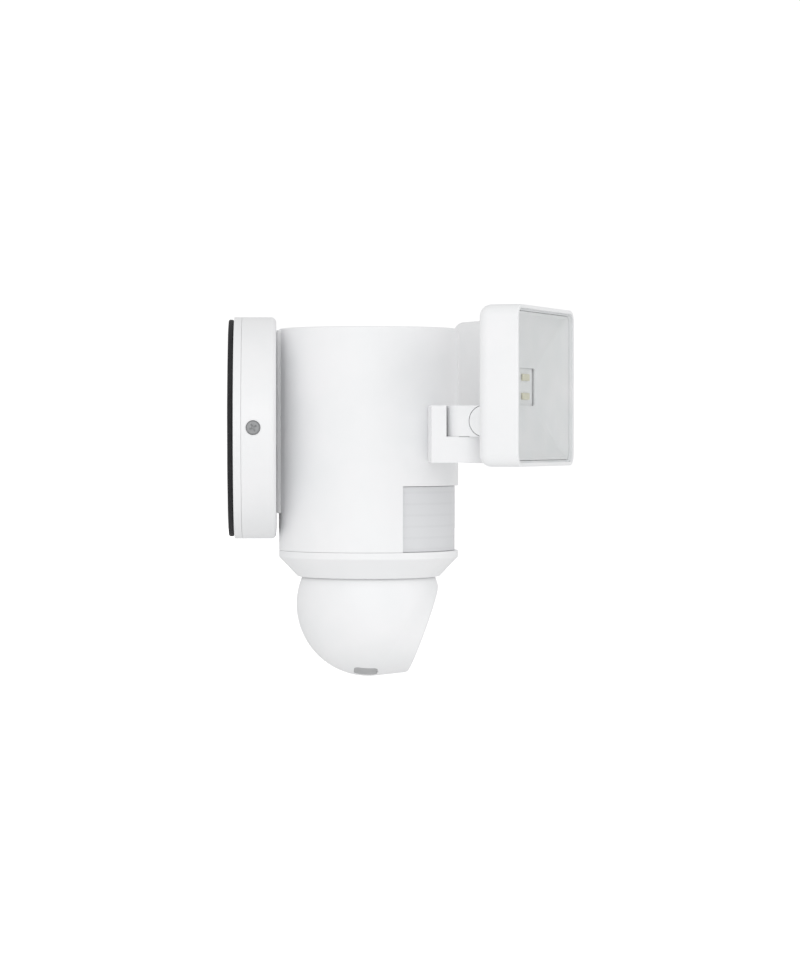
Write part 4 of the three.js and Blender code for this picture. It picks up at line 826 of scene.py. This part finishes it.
def buildLamp(name, side):
    outward = lampPlaces[name] @ facing
    lampBody, title = "lamp_" + name, name.title()
    tilt = lampPlaces[name].inverted() @ jointPoint("lamp_tilt_" + name)
    coverLow, coverHigh = localBox("lamp_cover_" + name, outward)
    low, high = localBox("lamp_housing_" + name, outward)
    width, height = high.x - low.x - 0.12, high.y - low.y
    barrel = jointPoint("lamp_tilt_" + name).z - localBox("knuckle_" + name)[0].z
    front, wall, gap = high.z, lamp["wall"], lamp["gap"]
    rear = front - lamp["depth"]
    middle = Matrix.Translation((0, (low.y + high.y) / 2, 0))

    shell = bar(width, height, lamp["corner"], rear, front, lamp["rearRound"], lamp["frontRound"], 8)
    inset = wall + lamp["ledge"]
    seat = front - lamp["sheet"] - 2 * gap
    cut(shell,
        bar(width - 2 * inset, height - 2 * inset, lamp["corner"] - inset, rear + wall, seat + 1, 3),
        bar(width - 2 * wall, height - 2 * wall, lamp["corner"] - wall, seat, front + 1))
    moved(shell, middle)
    spot = Matrix.Translation((0, tilt.z, -tilt.y))
    alongX = Matrix.Rotation(quarter, 4, "Y")
    for way in (-1, 1):
        x0, x1 = sorted((way * arm["lugInner"], way * localBox("knuckle_" + name, lampPlaces[name])[1].x))
        lug = moved(rod(barrel, x0, x1, 96), alongX, spot)
        join(lug, box((x0, tilt.z - barrel, -tilt.y), (x1, tilt.z + barrel, rear + 1)))
        join(shell, softened(lug, lamp["lugEdge"], angle=50))
    outerSide = -side
    x0, x1 = sorted((outerSide * 11, side * 9))
    cut(shell, moved(rod(lamp["pinHole"], x0, x1), alongX, spot))
    place(moved(shell, outward), "lampHousing" + title, lampBody, "lamp_housing_" + name, "white_abs")

    sheet = bar(coverHigh.x - coverLow.x, coverHigh.y - coverLow.y, lamp["corner"] - wall - gap,
                coverLow.z, coverHigh.z, 0.1, lamp["frontRound"])
    place(moved(sheet, middle, outward), "lampCover" + title, lampBody, "lamp_cover_" + name, "clear_acrylic")

    low, high = localBox("lamp_reflector_" + name, outward)
    ledLow, ledHigh = localBox("led_board_" + name, outward)
    mouth, floor = high.z, low.z + lamp["reflectorSheet"]
    wide, tall, corner = high.x - low.x, high.y - low.y, lamp["corner"] - inset - gap
    floorWide, floorTall = (ledHigh[i] - ledLow[i] - 4 for i in (0, 1))

    def dish(share, sink):
        blend = share * (1 - lamp["reflectorBow"]) + lamp["reflectorBow"] * (1 - (1 - share ** 2) ** 0.5)
        outline = roundedOutline(
            floorWide + (wide - 3 - floorWide) * share, floorTall + (tall - 3 - floorTall) * share,
            lamp["floorCorner"] + (corner - lamp["floorCorner"]) * share)
        return outline, floor + (mouth - floor) * blend - sink

    steps = 10
    shares = [i / steps for i in range(steps + 1)]
    rings = [dish(share, 0) for share in reversed(shares)]
    rings += [(dish(0, 0)[0], floor - lamp["reflectorSheet"])]
    rings += [(roundedOutline(floorWide + 2, floorTall + 2, 2.5), floor - lamp["reflectorSheet"])]
    rings += [dish(share, lamp["reflectorSheet"]) for share in shares[1:]]
    rings += [(roundedOutline(wide, tall, corner), mouth - lamp["reflectorSheet"]),
              (roundedOutline(wide, tall, corner), mouth)]
    tray = stacked(rings, closed=True)
    place(moved(tray, middle, outward), "reflector" + title, lampBody, "lamp_reflector_" + name, "white_reflector")

    for level in ("upper", "lower"):
        node = "led_" + level + "_" + name
        low, high = localBox(node, outward)
        bars = bar(high.x - low.x, high.y - low.y, 0.5, low.z, high.z, 0, 0.25)
        spot = Matrix.Translation((0, (low.y + high.y) / 2, 0))
        place(moved(bars, spot, outward), "led" + level.title() + title, lampBody, node, "led_phosphor")


for name, side in sides:
    buildBracket(name, side)
    buildKnuckle(name, side)
    buildLamp(name, side)
    print("lamp", name, "done")


# Floor, light and camera

studio = {
    "floorDrop": 0.5, "floorSize": 40, "floorGlow": 0.7, "surround": 0.72,
    "keyPower": 11.4, "frontPower": 6, "backPower": 2,
}


def buildStage():
    size, level = studio["floorSize"], cadLow.z - studio["floorDrop"]
    work = bmesh.new()
    bmesh.ops.create_grid(work, x_segments=8, y_segments=8, size=size / 2)
    mesh = bpy.data.meshes.new("floor")
    work.to_mesh(mesh)
    work.free()
    floor = bpy.data.objects.new("floor", mesh)
    floor.location = (0, 0, level)
    scene.collection.objects.link(floor)
    material, tree, shader = newMaterial("paperSweep")
    spot = addNode(tree, "ShaderNodeTexCoord").outputs["Object"]
    tooth = addNode(tree, "ShaderNodeTexNoise", {"Vector": spot, "Scale": 40.0, "Detail": 4.0})
    tree.links.new(ramp(tree, tooth.outputs["Fac"], [(0.3, "#f4f4f4"), (0.7, "#f8f8f8")]),
                   shader.inputs["Base Color"])
    shader.inputs["Roughness"].default_value = 0.9
    shader.inputs["Emission Color"].default_value = (1, 1, 1, 1)
    seen = addNode(tree, "ShaderNodeLightPath").outputs["Is Camera Ray"]
    glow = addNode(tree, "ShaderNodeMath", {0: seen, 1: studio["floorGlow"]}, operation="MULTIPLY")
    # The floor burns out to white, yet this glow lights nothing.
    tree.links.new(glow.outputs[0], shader.inputs["Emission Strength"])
    mesh.materials.append(material)

    world = bpy.data.worlds.new("studio")
    world.use_nodes = True
    scene.world = world
    tree = world.node_tree
    backdrop = tree.nodes["Background"]
    backdrop.inputs["Color"].default_value = (1, 1, 1, 1)
    seen = addNode(tree, "ShaderNodeLightPath").outputs["Is Camera Ray"]
    strength = addNode(tree, "ShaderNodeMapRange", {"Value": seen, "To Min": studio["surround"], "To Max": 1.05})
    tree.links.new(strength.outputs["Result"], backdrop.inputs["Strength"])


def softbox(name, power, size, spot, target):
    light = bpy.data.lights.new(name, "AREA")
    light.energy, light.shape, light.size = power, "SQUARE", size
    panel = bpy.data.objects.new(name, light)
    panel.location = spot
    panel.rotation_euler = (Vector(target) - Vector(spot)).to_track_quat("-Z", "Y").to_euler()
    scene.collection.objects.link(panel)


def buildCamera():
    lens = bpy.data.cameras.new("camera")
    lens.lens, lens.sensor_width = 114.3, 36
    camera = bpy.data.objects.new("camera", lens)
    camera.location = (-1.825, -0.0343, -0.0056)
    target = Vector((0, -0.1005, -0.0356))
    camera.rotation_euler = (target - camera.location).to_track_quat("-Z", "Y").to_euler()
    scene.collection.objects.link(camera)
    scene.camera = camera


buildStage()
middle = (cadLow + cadHigh) / 2
softbox("keyLight", studio["keyPower"], 1.6, (-2.3, 0.25, 0.5), middle)
softbox("frontLight", studio["frontPower"], 1.2, (-1.0, -2.2, 0.5), middle)
softbox("backLight", studio["backPower"], 1.0, (-1.6, 1.3, 0.5), middle)
buildCamera()
scene.view_settings.view_transform = "Standard"
print("stage, lights and camera done")
